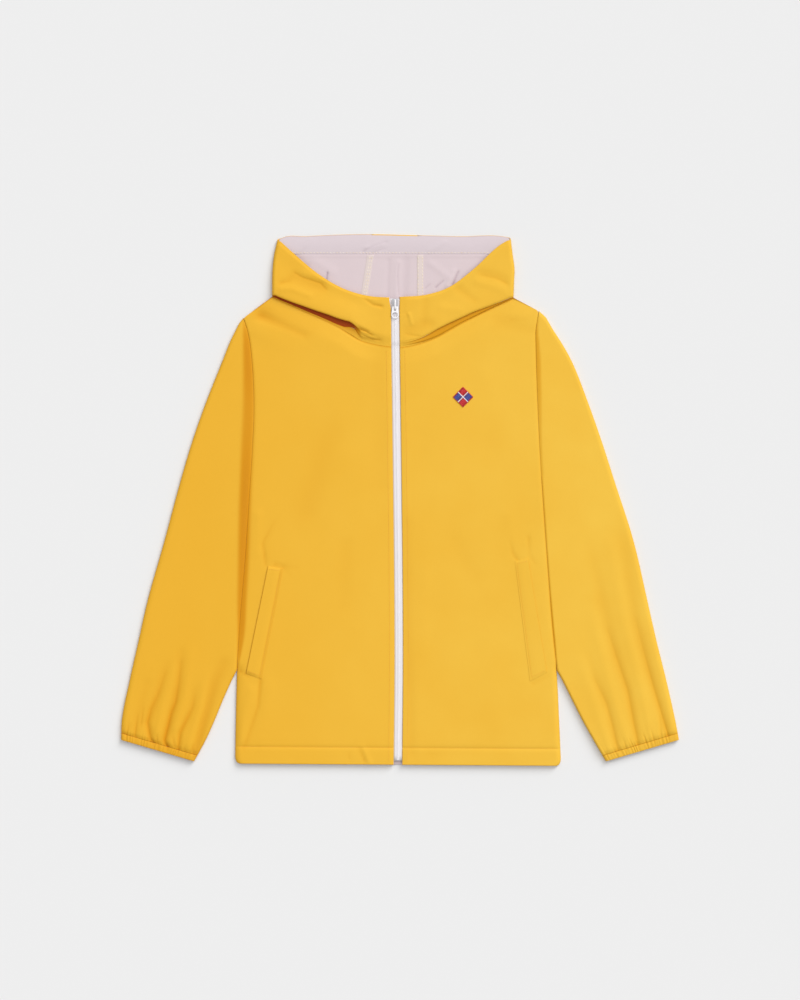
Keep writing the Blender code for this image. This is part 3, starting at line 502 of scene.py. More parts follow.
def smooth_line(table, column=1):
    """Value of a table's column as a smooth function of its first column."""
    rows = sorted(table)
    keys = [row[0] for row in rows]
    values = [row[column] for row in rows]
    slopes = [(values[i + 1] - values[i]) / (keys[i + 1] - keys[i]) for i in range(len(keys) - 1)]

    def value_at(key):
        key = min(max(key, keys[0]), keys[-1])
        i = min(bisect_right(keys, key) - 1, len(slopes) - 1)
        run = keys[i + 1] - keys[i]
        t = (key - keys[i]) / run
        start = (slopes[max(i - 1, 0)] + slopes[i]) / 2 * run
        end = (slopes[i] + slopes[min(i + 1, len(slopes) - 1)]) / 2 * run
        t2 = t * t
        t3 = t2 * t
        return ((2 * t3 - 3 * t2 + 1) * values[i] + (t3 - 2 * t2 + t) * start
                + (3 * t2 - 2 * t3) * values[i + 1] + (t3 - t2) * end)

    return value_at


def walk(points, distance):
    """Point that lies a distance along a line of points."""
    for a, b in zip(points, points[1:]):
        step = math.dist(a, b)
        if distance <= step:
            return [lerp(p, q, distance / step) for p, q in zip(a, b)]
        distance -= step
    return list(points[-1])


def walk_all(points, marks):
    """Points at rising distances along a line."""
    found, i, before = [], 0, 0.0
    step = math.dist(points[0], points[1])
    for mark in marks:
        while mark > before + step and i < len(points) - 2:
            before += step
            i += 1
            step = math.dist(points[i], points[i + 1])
        found.append([lerp(a, b, (mark - before) / step) for a, b in zip(points[i], points[i + 1])])
    return found


def length(points):
    return sum(math.dist(a, b) for a, b in zip(points, points[1:]))


def to_segment(x, y, x1, y1, x2, y2):
    """Distance from a segment, and how far along it the nearest point is, 0 to 1."""
    dx, dy = x2 - x1, y2 - y1
    t = ((x - x1) * dx + (y - y1) * dy) / (dx * dx + dy * dy)
    t = min(max(t, 0.0), 1.0)
    return math.hypot(x - x1 - t * dx, y - y1 - t * dy), t


def fold_height(x, y, folds, sharp=False):
    """Height that a table's folds add at a point. A sharp one comes to an edge along its line."""
    height = 0.0
    for half_start, top_start, half_end, top_end, points in folds:
        reach = 2.6 * max(half_start, half_end)
        if not min(p[1] for p in points) - reach < y < max(p[1] for p in points) + reach:
            continue
        if not min(p[0] for p in points) - reach < x < max(p[0] for p in points) + reach:
            continue
        nearest, along = reach, 0.0
        for i in range(len(points) - 1):
            away, t = to_segment(x, y, *points[i], *points[i + 1])
            if away < nearest:
                nearest, along = away, (i + t) / (len(points) - 1)
        share = nearest / lerp(half_start, half_end, along)
        drop = math.exp(-1.6 * share) if sharp else math.exp(-2 * share ** 2)
        height += lerp(top_start, top_end, 1 - (1 - along) ** 2) * drop
    return height


def fold_heights(x, y, folds, creases):
    """Heights that the soft folds and the sharp creases add at a point."""
    return fold_height(x, y, folds), fold_height(x, y, creases, sharp=True)


def fold_shade(soft, sharp):
    """Painted shade where a cloth's folds add these heights: darker in troughs, 0 to 1 but no more than
    0.6.
    """
    return min(max(-0.10 * soft - 0.17 * sharp, 0.0), 0.6)


def unevenness(x, y, seed):
    """Slight rise and fall of the cloth."""
    broad = noise.noise(Vector((x / UNEVEN_ACROSS, y / UNEVEN_DOWN, seed)))
    small = noise.noise(Vector((x / UNEVEN_ACROSS * 2.7, y / UNEVEN_DOWN * 2.3, seed + 4.0)))
    return UNEVEN * (broad + 0.35 * small)


# ---------------------------------------------------------------- outlines

def both_sides(table, right=1, left=2):
    """A table's columns for the right and the left side, as smooth functions."""
    return {-1: smooth_line(table, right), 1: smooth_line(table, left)}


body_side = both_sides(SIDE)
side_rounding = both_sides(SIDE, 3, 4)
sleeve_outside = both_sides(SLEEVE_OUTSIDE)
sleeve_inside = both_sides(SLEEVE_INSIDE)
hood_side = both_sides(HOOD_SIDE)
lining_seam = both_sides(LINING_SEAMS)
roll_columns = {side: [smooth_line(ROLL[side], i) for i in range(1, 6)] for side in SIDES}
valley_shade_columns = {side: [smooth_line(VALLEY_SHADE[side], i) for i in range(1, 4)] for side in SIDES}
zip_x = smooth_line(ZIP_LINE)
neck_seam = smooth_line(NECK_SEAM)
back_neck = smooth_line(BACK_NECK)
mouth = smooth_line(MOUTH)
brim = smooth_line(BRIM)

# Middle of the zip below the neck seam, at it, beside the slider and at the hood's mouth
chest_x, neck_x, slider_x, mouth_x = (zip_x(y) for y in (200, 205, CHAIN_TOP_Y, ZIP_TOP_Y))
neck_corner = {-1: NECK_SEAM[0], 1: NECK_SEAM[-1]}


def hem_y(x):
    return lerp(HEM_RIGHT_Y, HEM_LEFT_Y, (x - HEM_RIGHT_X) / HEM_WIDTH)


def side_x(side, y):
    """Side of the body, from the neck corner over the shoulder tip to the hem."""
    tip_y = SHOULDER_Y[side]
    if y > tip_y:
        corner_x, corner_y = neck_corner[side]
        return lerp(body_side[side](tip_y), corner_x, (y - tip_y) / (corner_y - tip_y))
    x = body_side[side](y)
    above_hem = y - hem_y(x)
    if above_hem < HEM_CORNER:
        left_over = HEM_CORNER - max(above_hem, 0.0)
        x -= side * (HEM_CORNER - math.sqrt(HEM_CORNER ** 2 - left_over ** 2)) * 0.6
    return x


# ---------------------------------------------------------------- heights

def neck_dip(x):
    """How far the fronts sink at the neck seam."""
    deep = 2.4 if x < chest_x else 1.9
    return lerp(0.3, deep, ease(abs(x - chest_x) / 45))


def below_neck(x, y):
    """Distance from the neck seam, which runs at a slant."""
    return (neck_seam(x) - y) * 0.9


def front_height(side, x, y):
    """Outside of a front, away from its side edge."""
    below_seam = below_neck(x, y)
    from_hem_line = y - hem_y(x) - HEM_DEPTH
    z = FRONT_TOP - neck_dip(x) * (1 - ease(below_seam / NECK_REACH))
    z -= NECK_SINK * (1 - ease((below_seam + 0.3) / 5)) * ease(abs(x - chest_x) / 60)
    z -= 0.5 * groove(from_hem_line, 1.3)
    z -= 0.35 * groove(from_hem_line, 4)
    free = ease(below_seam / 20)
    soft, sharp = fold_heights(x, y, FRONT_FOLDS[side], FRONT_CREASES[side])
    return z + soft * free + sharp + unevenness(x, y, side) * free


def front_skin(side, x, y):
    """Outside of a front with its rounded side edge, which is sewn to the sleeve or lies against it
    down to the notch."""
    radius = side_rounding[side](y)
    inside = (side_x(side, y) - x) * side
    edge = RIM + 0.6 + 3.6 * ease((y - NOTCH_Y) / 12)
    return lerp(edge, front_height(side, x, y), round_over(inside, radius))


def sleeve_valley_shade(side, x, y):
    """Painted shade in the valley between the body and a sleeve, 0 to 1."""
    centre, half, much = [column(y) for column in valley_shade_columns[side]]
    return much * groove(x - body_side[side](y) - centre, half, 4)


def front_shade(side, x, y):
    """Painted shade of a front in its folds, its seams and beside the sleeve, 0 to 1."""
    depth = fold_shade(*fold_heights(x, y, FRONT_FOLDS[side], FRONT_CREASES[side]))
    # painted shade along the neck seam
    seam = 0.35 * groove(neck_seam(x) - y, 1.4)
    return min(depth + seam + sleeve_valley_shade(side, x, y), 1.0)


def plain_front(x, y):
    """A front's height beside the zip, without its folds."""
    z = FRONT_TOP - neck_dip(x) * (1 - ease(below_neck(x, y) / NECK_REACH))
    return z - 1.3 * (1 - round_over(y - hem_y(x), 4))


def hood_main(side, across, up):
    """Outside of the hood's front above its roll: across from the side fold to the zip."""
    crest = ROLL_TOP[side]
    roll = lerp(crest, MOUTH_TOP, ease((across - 0.62) / 0.38))
    edge = lerp(1.0, 0.1, ease((across - 0.8) / 0.2)) * ease((up - EDGE_UP) / 0.07)
    return lerp(roll, MOUTH_TOP, ease((up - CREST_UP) / 0.65)) - edge


def middle_height(y):
    """Outside of the cloth beside the zip."""
    seam_y = neck_seam(neck_x)
    if y <= seam_y:
        return plain_front(zip_x(y), y)
    up = min((y - seam_y) / (mouth(mouth_x) - seam_y), EDGE_UP)
    rising = 0.12
    if up < rising:
        return lerp(FRONT_TOP - neck_dip(neck_x), hood_main(1, 1.0, rising), ease(up / rising))
    return hood_main(1, 1.0, up)


def tape_height(y):
    return middle_height(y) - ZIP_EDGE_DROP - CAD_WALL - 1.3 * LIFT


# ---------------------------------------------------------------- finishes

MIX_SHARE, MIX_FIRST, MIX_SECOND = 0, 6, 7      # a colour mix node's inputs
MIXED = 2                                       # and its output
LIT_SIDE_REACH = 0.28        # painted light: metres from the middle to where the lighter, paler tone of the +X side is whole


def shader_of(made):
    return made.node_tree.nodes["Principled BSDF"]


def finish(name, colour, roughness, metallic=0.0, specular=0.35, sheen=0.0):
    """A finish with its plain values on the shader, and its nodes ready for a pattern."""
    made = bpy.data.materials.new(name)
    made.use_nodes = True
    shader = shader_of(made)
    shader.inputs["Base Color"].default_value = (*colour, 1.0)
    shader.inputs["Roughness"].default_value = roughness
    shader.inputs["Metallic"].default_value = metallic
    shader.inputs["Specular IOR Level"].default_value = specular
    shader.inputs["Sheen Weight"].default_value = sheen
    return made


def node(made, kind, **values):
    """Adds a node. A value whose name is an input's goes there, and any other is a setting."""
    added = made.node_tree.nodes.new(kind)
    for name, value in values.items():
        if hasattr(added, name):
            setattr(added, name, value)
        else:
            added.inputs[name.replace("_", " ")].default_value = value
    return added


def link(made, source, output, target, socket):
    made.node_tree.links.new(source.outputs[output], target.inputs[socket])


def mix(made, first=(0, 0, 0), second=(0, 0, 0), share=1.0, blend="MIX"):
    """Mix of two colours, which links may replace."""
    mixed = node(made, "ShaderNodeMix", data_type="RGBA", blend_type=blend)
    mixed.inputs[MIX_SHARE].default_value = share
    mixed.inputs[MIX_FIRST].default_value = (*first, 1.0)
    mixed.inputs[MIX_SECOND].default_value = (*second, 1.0)
    return mixed


def tone(made, colour, deep, scale, across=None):
    """Colour that wanders between two close tones over the piece. Where a second colour is given, it drifts
    across the jacket to it: painted light that makes the +X side lighter and paler."""
    where = node(made, "ShaderNodeTexCoord")
    cloudy = node(made, "ShaderNodeTexNoise", Scale=scale, Detail=3.0, Roughness=0.55)
    much = 0.35 if across else 1.0
    spread = node(made, "ShaderNodeMapRange", From_Min=0.32, From_Max=0.68, To_Max=much)
    mixed = mix(made, colour, deep)
    link(made, where, "Object", cloudy, "Vector")
    link(made, cloudy, "Fac", spread, "Value")
    link(made, spread, "Result", mixed, MIX_SHARE)
    # painted light: lighter, paler colour towards +X
    if across:
        apart = node(made, "ShaderNodeSeparateXYZ")
        span = node(made, "ShaderNodeMapRange", From_Min=-LIT_SIDE_REACH, From_Max=LIT_SIDE_REACH)
        lit_side_drift = mix(made, colour, across)
        link(made, where, "Object", apart, "Vector")
        link(made, apart, "X", span, "Value")
        link(made, span, "Result", lit_side_drift, MIX_SHARE)
        link(made, lit_side_drift, MIXED, mixed, MIX_FIRST)
    return where, mixed


def relief(made, height_node, output, strength, depth):
    """Fine relief of the surface, its depth in millimetres."""
    bump = node(made, "ShaderNodeBump", Strength=strength, Distance=depth * MM)
    link(made, height_node, output, bump, "Height")
    link(made, bump, "Normal", shader_of(made), "Normal")


def woven(name, colour, deep, fold, roughness, thread, strength, across=None, sheen=0.0, specular=0.35):
    """Plain weave: warp and weft cross along the cloth's own map, with slight slubs. Painted shade: where
    the cloth lies in folds, seams and hollows, by the amount on its points, its colour is multiplied down
    towards the fold colours."""
    made = finish(name, colour, roughness, sheen=sheen, specular=specular)
    where, mixed = tone(made, colour, deep, 9.0, across)
    # painted shade: the amount on the cloth's points picks a fold colour from the ramp
    painted_shade = node(made, "ShaderNodeAttribute", attribute_name="painted_shade")
    ramp = node(made, "ShaderNodeValToRGB")
    ramp.color_ramp.elements.new(0.4)
    for stop, (place, shade_there) in zip(ramp.color_ramp.elements, fold):
        stop.position = place
        stop.color = (*shade_there, 1.0)
    # painted shade: the tone multiplied by that fold colour
    folded = mix(made, blend="MULTIPLY")
    link(made, painted_shade, "Fac", ramp, "Fac")
    link(made, mixed, MIXED, folded, MIX_FIRST)
    link(made, ramp, "Color", folded, MIX_SECOND)
    scale = math.tau / 20 / (thread * MM)     # of the wave texture, for one band a thread
    warp = node(made, "ShaderNodeTexWave", Scale=scale, Distortion=0.6)
    weft = node(made, "ShaderNodeTexWave", bands_direction="Y", Scale=scale, Distortion=0.6)
    crossing = node(made, "ShaderNodeMath", operation="MULTIPLY")
    shade = mix(made, share=0.10, blend="MULTIPLY")
    slubs = node(made, "ShaderNodeTexNoise", Scale=700.0, Detail=2.0)
    height = node(made, "ShaderNodeMath", operation="MULTIPLY_ADD")
    height.inputs[1].default_value = 0.6
    for threads in (warp, weft):
        link(made, where, "UV", threads, "Vector")
    link(made, where, "Object", slubs, "Vector")
    link(made, warp, "Fac", crossing, 0)
    link(made, weft, "Fac", crossing, 1)
    link(made, slubs, "Fac", height, 0)
    link(made, crossing, "Value", height, 2)
    link(made, folded, MIXED, shade, MIX_FIRST)
    link(made, crossing, "Value", shade, MIX_SECOND)
    link(made, shade, MIXED, shader_of(made), "Base Color")
    relief(made, height, "Value", strength, 0.08)
    return made


def twisted_thread(name, colour, deep, roughness=0.55, sheen=0.2):
    """Sewing or embroidery thread: fine diagonal twist."""
    made = finish(name, colour, roughness, sheen=sheen)
    where, mixed = tone(made, colour, deep, 160.0)
    twist = node(made, "ShaderNodeTexWave", bands_direction="DIAGONAL", Scale=900.0, Distortion=0.4)
    link(made, where, "Object", twist, "Vector")
    link(made, mixed, MIXED, shader_of(made), "Base Color")
    relief(made, twist, "Fac", 0.5, 0.06)
    return made


def moulded(name, colour, deep, roughness, metallic=0.0, specular=0.5, grain=420.0):
    """Nylon or coated metal: close to smooth, with a fine uneven coat."""
    made = finish(name, colour, roughness, metallic=metallic, specular=specular)
    where, mixed = tone(made, colour, deep, 90.0)
    coat = node(made, "ShaderNodeTexNoise", Scale=grain, Detail=2.0)
    link(made, where, "Object", coat, "Vector")
    link(made, mixed, MIXED, shader_of(made), "Base Color")
    relief(made, coat, "Fac", 0.25, 0.05)
    return made


# Painted shade: darkening of a cloth's colour where it lies in folds, seams and hollows: how deep, and what
# its tone is multiplied by
YELLOW_PAINTED_SHADE = ((0.0, (1.0, 1.0, 1.0)), (0.4, (0.83, 0.64, 0.10)), (1.0, (0.50, 0.13, 0.001)))
PALE_PAINTED_SHADE = ((0.0, (1.0, 1.0, 1.0)), (0.4, (0.80, 0.76, 0.79)), (1.0, (0.34, 0.30, 0.34)))

# The second yellow is painted light: the +X side of the jacket is drawn lighter and paler.
yellow_cloth = woven("yellow_coated_cloth", (0.815, 0.430, 0.026), (0.800, 0.415, 0.021), YELLOW_PAINTED_SHADE,
                     0.62, 0.5, 0.35, across=(0.862, 0.525, 0.056), sheen=0.02, specular=0.16)
lining_cloth = woven("lining_taffeta", (0.695, 0.575, 0.592), (0.672, 0.556, 0.576), PALE_PAINTED_SHADE,
                     0.55, 0.4, 0.3, sheen=0.1, specular=0.3)
facing_cloth = woven("brim_facing_cloth", (0.684, 0.586, 0.614), (0.664, 0.572, 0.600), PALE_PAINTED_SHADE,
                     0.6, 0.45, 0.35, specular=0.3)
seam_tape_film = woven("sealing_tape", (0.700, 0.588, 0.570), (0.712, 0.602, 0.560), PALE_PAINTED_SHADE,
                       0.4, 0.8, 0.15)
zip_tape_cloth = woven("zip_tape_twill", (0.790, 0.760, 0.780), (0.770, 0.742, 0.762), PALE_PAINTED_SHADE,
                       0.75, 0.9, 0.5)
coil_nylon = moulded("coil_nylon", (0.800, 0.772, 0.795), (0.775, 0.748, 0.772), 0.5)
slider_metal = moulded("coated_slider_metal", (0.440, 0.430, 0.450), (0.400, 0.390, 0.415), 0.40,
                       metallic=0.15)
pull_metal = moulded("coated_pull_metal", (0.860, 0.845, 0.865), (0.820, 0.805, 0.828), 0.34)
yellow_thread = twisted_thread("yellow_sewing_thread", (0.800, 0.410, 0.022), (0.740, 0.350, 0.014))
lining_thread = twisted_thread("cream_sewing_thread", (0.840, 0.660, 0.400), (0.860, 0.800, 0.700))
red_thread = twisted_thread("red_embroidery_thread", (0.560, 0.018, 0.022), (0.480, 0.014, 0.020))
blue_thread = twisted_thread("blue_embroidery_thread", (0.060, 0.075, 0.310), (0.045, 0.055, 0.250))
white_thread = twisted_thread("white_embroidery_thread", (0.840, 0.830, 0.850), (0.780, 0.770, 0.800))


# ---------------------------------------------------------------- making

def settle(piece, cad_node=None, body=BODY):
    """The piece moves with its body and stands for its solid."""
    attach(piece, body)
    if cad_node:
        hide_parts(cad_node)
    return piece


def add_piece(name, bm, finishes, smooth=True):
    mesh = bpy.data.meshes.new(name)
    bm.to_mesh(mesh)
    bm.free()
    for each in finishes:
        mesh.materials.append(each)
    if smooth:
        mesh.shade_smooth()
        mesh.set_sharp_from_angle(angle=math.radians(70))
    piece = bpy.data.objects.new(name, mesh)
    bpy.context.scene.collection.objects.link(piece)
    return piece


def cloth(cad_node, columns, rows, place, outside, inside=None, wall=SHELL_WALL, turned=False,
          closed=False, name=None):
    """Sheet whose grid points are placed by a function of (column, row): x, y, z, and how much painted
    shade the cloth has where it lies in a fold, seam or hollow, 0 to 1, where that matters. It has its own
    map, in metres along the cloth, and a wall; inside is the finish of its other side. It is named after
    the solid that it replaces, or has a name of its own."""
    across, down = len(columns) - 1, len(rows) - 1
    points = [[place(column, row) for column in columns] for row in rows]
    middle_row = [point[:3] for point in points[down // 2]]
    middle_column = [row[across // 2][:3] for row in points]
    along_row = [length(middle_row[:i + 1]) * MM for i in range(across + 1)]
    along_column = [length(middle_column[:i + 1]) * MM for i in range(down + 1)]
    bm = bmesh.new()
    # amount of painted shade at each point, by which the finishes darken their colour
    painted_shade = bm.verts.layers.float.new("painted_shade")
    bmesh.ops.create_grid(bm, x_segments=across, y_segments=down, size=0.5)
    cloth_map = bm.loops.layers.uv.new("cloth_map")
    for face in bm.faces:
        for corner in face.loops:
            i = round((corner.vert.co.x + 0.5) * across)
            j = round((corner.vert.co.y + 0.5) * down)
            corner[cloth_map].uv = along_row[i], along_column[j]
    for vertex in bm.verts:
        i = round((vertex.co.x + 0.5) * across)
        j = round((vertex.co.y + 0.5) * down)
        vertex.co = [value * MM for value in points[j][i][:3]]
        vertex[painted_shade] = points[j][i][3] if len(points[j][i]) > 3 else 0.0
    if closed:
        bmesh.ops.remove_doubles(bm, verts=bm.verts, dist=0.01 * MM)
    if turned:
        bmesh.ops.reverse_faces(bm, faces=bm.faces)
    finishes = [outside, inside] if inside else [outside]
    piece = add_piece(name or cad_node + "_cloth", bm, finishes)
    solidify = piece.modifiers.new("wall", "SOLIDIFY")
    solidify.thickness = wall * MM
    solidify.offset = -1.0
    solidify.material_offset = 1 if inside else 0
    return settle(piece, cad_node)


def rounded_bead():
    """The stitch or tooth that every row of sewing, embroidery and coil repeats."""
    bm = bmesh.new()
    bmesh.ops.create_uvsphere(bm, u_segments=6, v_segments=4, radius=1.0)
    mesh = bpy.data.meshes.new("rounded_bead")
    bm.to_mesh(mesh)
    bm.free()
    return mesh


plain_bead = rounded_bead()


def bead(bm, start, end, half_width, half_height):
    """Rounded stitch or tooth between two points."""
    start, end = Vector(start), Vector(end)
    run = end - start
    axis = run.normalized()
    level = Vector((0, 0, 1)).cross(axis).normalized()
    turn = Matrix((axis.cross(level), level, axis)).transposed().to_4x4()
    size = Matrix.Diagonal((half_height * MM, half_width * MM, run.length / 2 * MM, 1.0))
    copy = plain_bead.copy()
    copy.transform(Matrix.Translation((start + end) / 2 * MM) @ turn @ size)
    bm.from_mesh(copy)
    bpy.data.meshes.remove(copy)


def stitches(name, lines, thread, pitch=3.0, run=2.2, thick=0.26, body=BODY):
    """Rows of stitches that follow lines of points on the cloth."""
    bm = bmesh.new()
    for line in lines:
        marks = []
        for i in range(int(length(line) / pitch)):
            marks += [(i + 0.5) * pitch - run / 2, (i + 0.5) * pitch + run / 2]
        ends = walk_all(line, marks)
        for start, end in zip(ends[::2], ends[1::2]):
            bead(bm, start, end, thick, thick)
    return settle(add_piece(name, bm, [thread]), body=body)


def plate(name, outlines, thickness, edge, place, metal):
    """Flat outline with holes, given its thickness and rounded edges, then put in place."""
    drawn = bpy.data.curves.new(name + "_outline", "CURVE")
    drawn.dimensions = "2D"
    drawn.fill_mode = "BOTH"
    drawn.extrude = (thickness / 2 - edge) * MM
    drawn.bevel_depth = edge * MM
    drawn.bevel_resolution = 2
    for outline in outlines:
        spline = drawn.splines.new("POLY")
        spline.points.add(len(outline) - 1)
        for point, (x, y) in zip(spline.points, outline):
            point.co = (x * MM, y * MM, 0.0, 1.0)
        spline.use_cyclic_u = True
    source = bpy.data.objects.new(name + "_outline", drawn)
    bpy.context.scene.collection.objects.link(source)
    made = source.evaluated_get(bpy.context.evaluated_depsgraph_get())
    mesh = bpy.data.meshes.new_from_object(made)
    bpy.data.objects.remove(source)
    bpy.data.curves.remove(drawn)
    bm = bmesh.new()
    bm.from_mesh(mesh)
    bpy.data.meshes.remove(mesh)
    bmesh.ops.remove_doubles(bm, verts=bm.verts, dist=0.005 * MM)
    bmesh.ops.recalc_face_normals(bm, faces=bm.faces)
    bmesh.ops.transform(bm, matrix=place, verts=bm.verts)
    return add_piece(name, bm, [metal])


# ---------------------------------------------------------------- fronts

TURN = [math.radians(angle) for angle in range(30, 181, 30)]


def turned_edge(kind, value):
    """How far the cloth has swept round its turned edge, and how far back it lies under itself."""
    return (value, 0.0) if kind.endswith("turn") else (math.pi, value)


def front_columns():
    """Across a front: the side's upright, its rounding, steps to the zip, and the turned edge."""
    columns = [("upright", 0.0)]
    columns += [("round", math.radians(angle)) for angle in range(0, 91, 6)]
    columns += [("flat", share) for share in steps(0.0, 1.0, 78)[1:]]
    columns += [("edge", left) for left in (9.0, 8.0, 7.2, 6.8, 6.4, 5.6, 4.4, 3.2, 2.2, 1.4, EDGE_RADIUS)]
    columns += [("turn", angle) for angle in TURN]
    return columns + [("back", 1.5), ("back", 5.0)]


def front_rows():
    """Up a front, from the hem's turned edge to the neck seam."""
    rows = [("back", 5.0), ("back", 1.5)]
    rows += [("turn", angle) for angle in TURN[::-1]]
    rows += [("hem", above) for above in (1.0, 1.6, 2.4, 3.6, 5.2, 7.4, 10.0, 13.0, 16.0, 18.6, 20.4, 21.6,
                                           22.3, 23.0, 23.7, 24.4, 25.6, 27.4, 30.0)]
    rows += [("share", share) for share in steps(1.0, 0.0, 184)[1:-1]]
    rows += [("seam", below) for below in (9.0, 7.2, 5.6, 4.2, 3.0, 2.0, 1.2, 0.6, 0.0)]
    return rows


def make_front(side):
    seam_end_y = neck_seam(neck_x + side * ZIP_HALF_OPENING)
    hem_side_y = hem_y(side_x(side, HEM_RIGHT_Y))
    hem_zip_y = hem_y(zip_x(HEM_LEFT_Y))

    def x_on(column, down):
        kind, value = column
        y_side = lerp(neck_corner[side][1], hem_side_y, down)
        y_zip = lerp(seam_end_y, hem_zip_y, down)
        edge = side_x(side, y_side)
        radius = side_rounding[side](y_side)
        last = zip_x(y_zip) + side * ZIP_HALF_OPENING
        if kind in ("upright", "round"):
            return edge - side * radius * (1 - math.cos(value))
        if kind == "flat":
            return lerp(edge - side * radius, last + side * 10, value)
        return last + side * (value if kind == "edge" else EDGE_RADIUS)

    def place(column, row):
        kind, value = row
        top_x = x_on(column, 0.0)
        seam = neck_seam(top_x)
        hem = hem_y(top_x)
        heights = {"seam": seam - value, "share": lerp(seam - 10, hem + 32, value), "hem": hem + value}
        y = heights.get(kind, hem)
        x = x_on(column, (seam - y) / (seam - hem))
        if kind in ("hem", "turn", "back"):
            y = hem_y(x) + (value if kind == "hem" else 1.0)
        z = front_skin(side, x, y)
        if column[0] in ("turn", "back"):
            sweep, back = turned_edge(*column)
            x += side * (back - EDGE_RADIUS * math.sin(sweep))
            z -= EDGE_RADIUS * (1 - math.cos(sweep))
        if column[0] in ("edge", "turn", "back"):
            z -= ZIP_EDGE_DROP * (1 - ease(min(column[1], 5.0) / 5.0) if column[0] == "edge" else 1.0)
        if kind in ("turn", "back"):
            sweep, back = turned_edge(*row)
            radius = min(max((z - RIM) / 2.4, 0.05), 1.0)
            y += back - radius * math.sin(sweep)
            z -= radius * (1 - math.cos(sweep))
        return x, y, RIM if column[0] == "upright" else z, front_shade(side, x, y)

    return cloth(f"front_{SIDE_NAMES[side]}", front_columns(), front_rows(), place, yellow_cloth,
                 lining_cloth, turned=side > 0)


def make_back():
    """Flat panel on the floor, its neckline from shoulder to shoulder."""
    tips = [(side_x(side, SHOULDER_Y[side]), SHOULDER_Y[side]) for side in SIDES]
    neck = steps(BACK_NECK[0][0], BACK_NECK[-1][0], 60)
    top = [tips[0]] + [(x, back_neck(x)) for x in neck] + [tips[1]]

    def place(point, up):
        share = (point[0] - tips[0][0]) / (tips[1][0] - tips[0][0])
        hem = hem_y(point[0])
        ends = [side_x(side, lerp(hem, SHOULDER_Y[side], up)) for side in SIDES]
        return lerp(*ends, share), lerp(hem, point[1] - SEAM / 2, up), FLOOR_WALL

    rows = [0.0, 0.002, 0.005, 0.01, 0.018, 0.03] + steps(0.04, 1.0, 60)
    return cloth("back", top, rows, place, lining_cloth, yellow_cloth, wall=FLOOR_WALL)


# ---------------------------------------------------------------- sleeves

def sleeve_lines(side):
    """Outer edge from the shoulder, inner edge from the armhole, and the armhole, as points."""
    tip_y = SHOULDER_Y[side]

    def sample(line, high, low, gap=SIDE_GAP):
        count = max(int((high - low) / 8), 2)
        heights = steps(high, low, count)
        gaps = [gap + TIP_GAP * max(1 - (tip_y - y) / 12, 0.0) for y in heights]
        return [(line(y) + side * gap, y) for y, gap in zip(heights, gaps)]

    outer = sample(sleeve_outside[side], tip_y, SLEEVE_OUTSIDE[-1][0])
    inner = sample(body_side[side], ARMHOLE_Y, NOTCH_Y)
    inner += sample(sleeve_inside[side], SLEEVE_INSIDE[0][0], SLEEVE_INSIDE[-1][0], 0.0)
    return outer, inner, sample(body_side[side], tip_y, ARMHOLE_Y)


def tube_section(top_steps):
    """Round a flat tube: outer edge, over the top to the inner edge, and back underneath."""
    quarter = [math.radians(angle) for angle in range(0, 90, 10)]
    section = [("outer_top", angle) for angle in quarter]
    section += [("top", share) for share in steps(0.0, 1.0, top_steps)]
    section += [("inner_top", angle) for angle in quarter[::-1]]
    section += [("inner_under", angle) for angle in quarter[2::2]]
    section += [("under", share) for share in steps(0.0, 1.0, 14)]
    return section + [("outer_under", angle) for angle in quarter[:0:-2] + [0.0]]


def tube_point(station, outer, inner, outer_round, inner_round, top_height, inner_middle=SLEEVE_TOP / 2):
    """Point of a flat tube's ring: share across it, and height."""
    kind, value = station
    width = math.dist(outer, inner)
    middle = SLEEVE_TOP / 2
    fold = inner_middle if kind.startswith("inner") else middle
    first, last = outer_round / width, 1 - inner_round / width
    if kind == "top":
        share = lerp(first, last, value)
        return share, top_height(share)
    if kind in ("outer_top", "inner_top"):
        end = 1 - math.cos(value)
        share = first * end if kind == "outer_top" else 1 - (1 - last) * end
        crown = top_height(first if kind == "outer_top" else last)
        return share, lerp(fold, crown, math.sin(value))
    if kind == "under":
        return lerp(1 - middle / width, middle / width, value), 0.0
    share = middle * (1 - math.cos(value)) / width
    return (share if kind == "outer_under" else 1 - share), fold * (1 - math.sin(value))


def gathers(share, side):
    """Fine uneven gathers that the elastic draws into the cloth round a cuff."""
    phase = share * math.tau
    fine = math.sin(phase * 23 + 2.1 * math.sin(phase * 3 + side) + 1.3 * math.sin(phase * 7))
    return fine * (0.6 + 0.4 * math.sin(phase * 5 + 2 * side))


FOLLOWING = 0.3          # share of a sleeve's length over which its rings follow the armhole


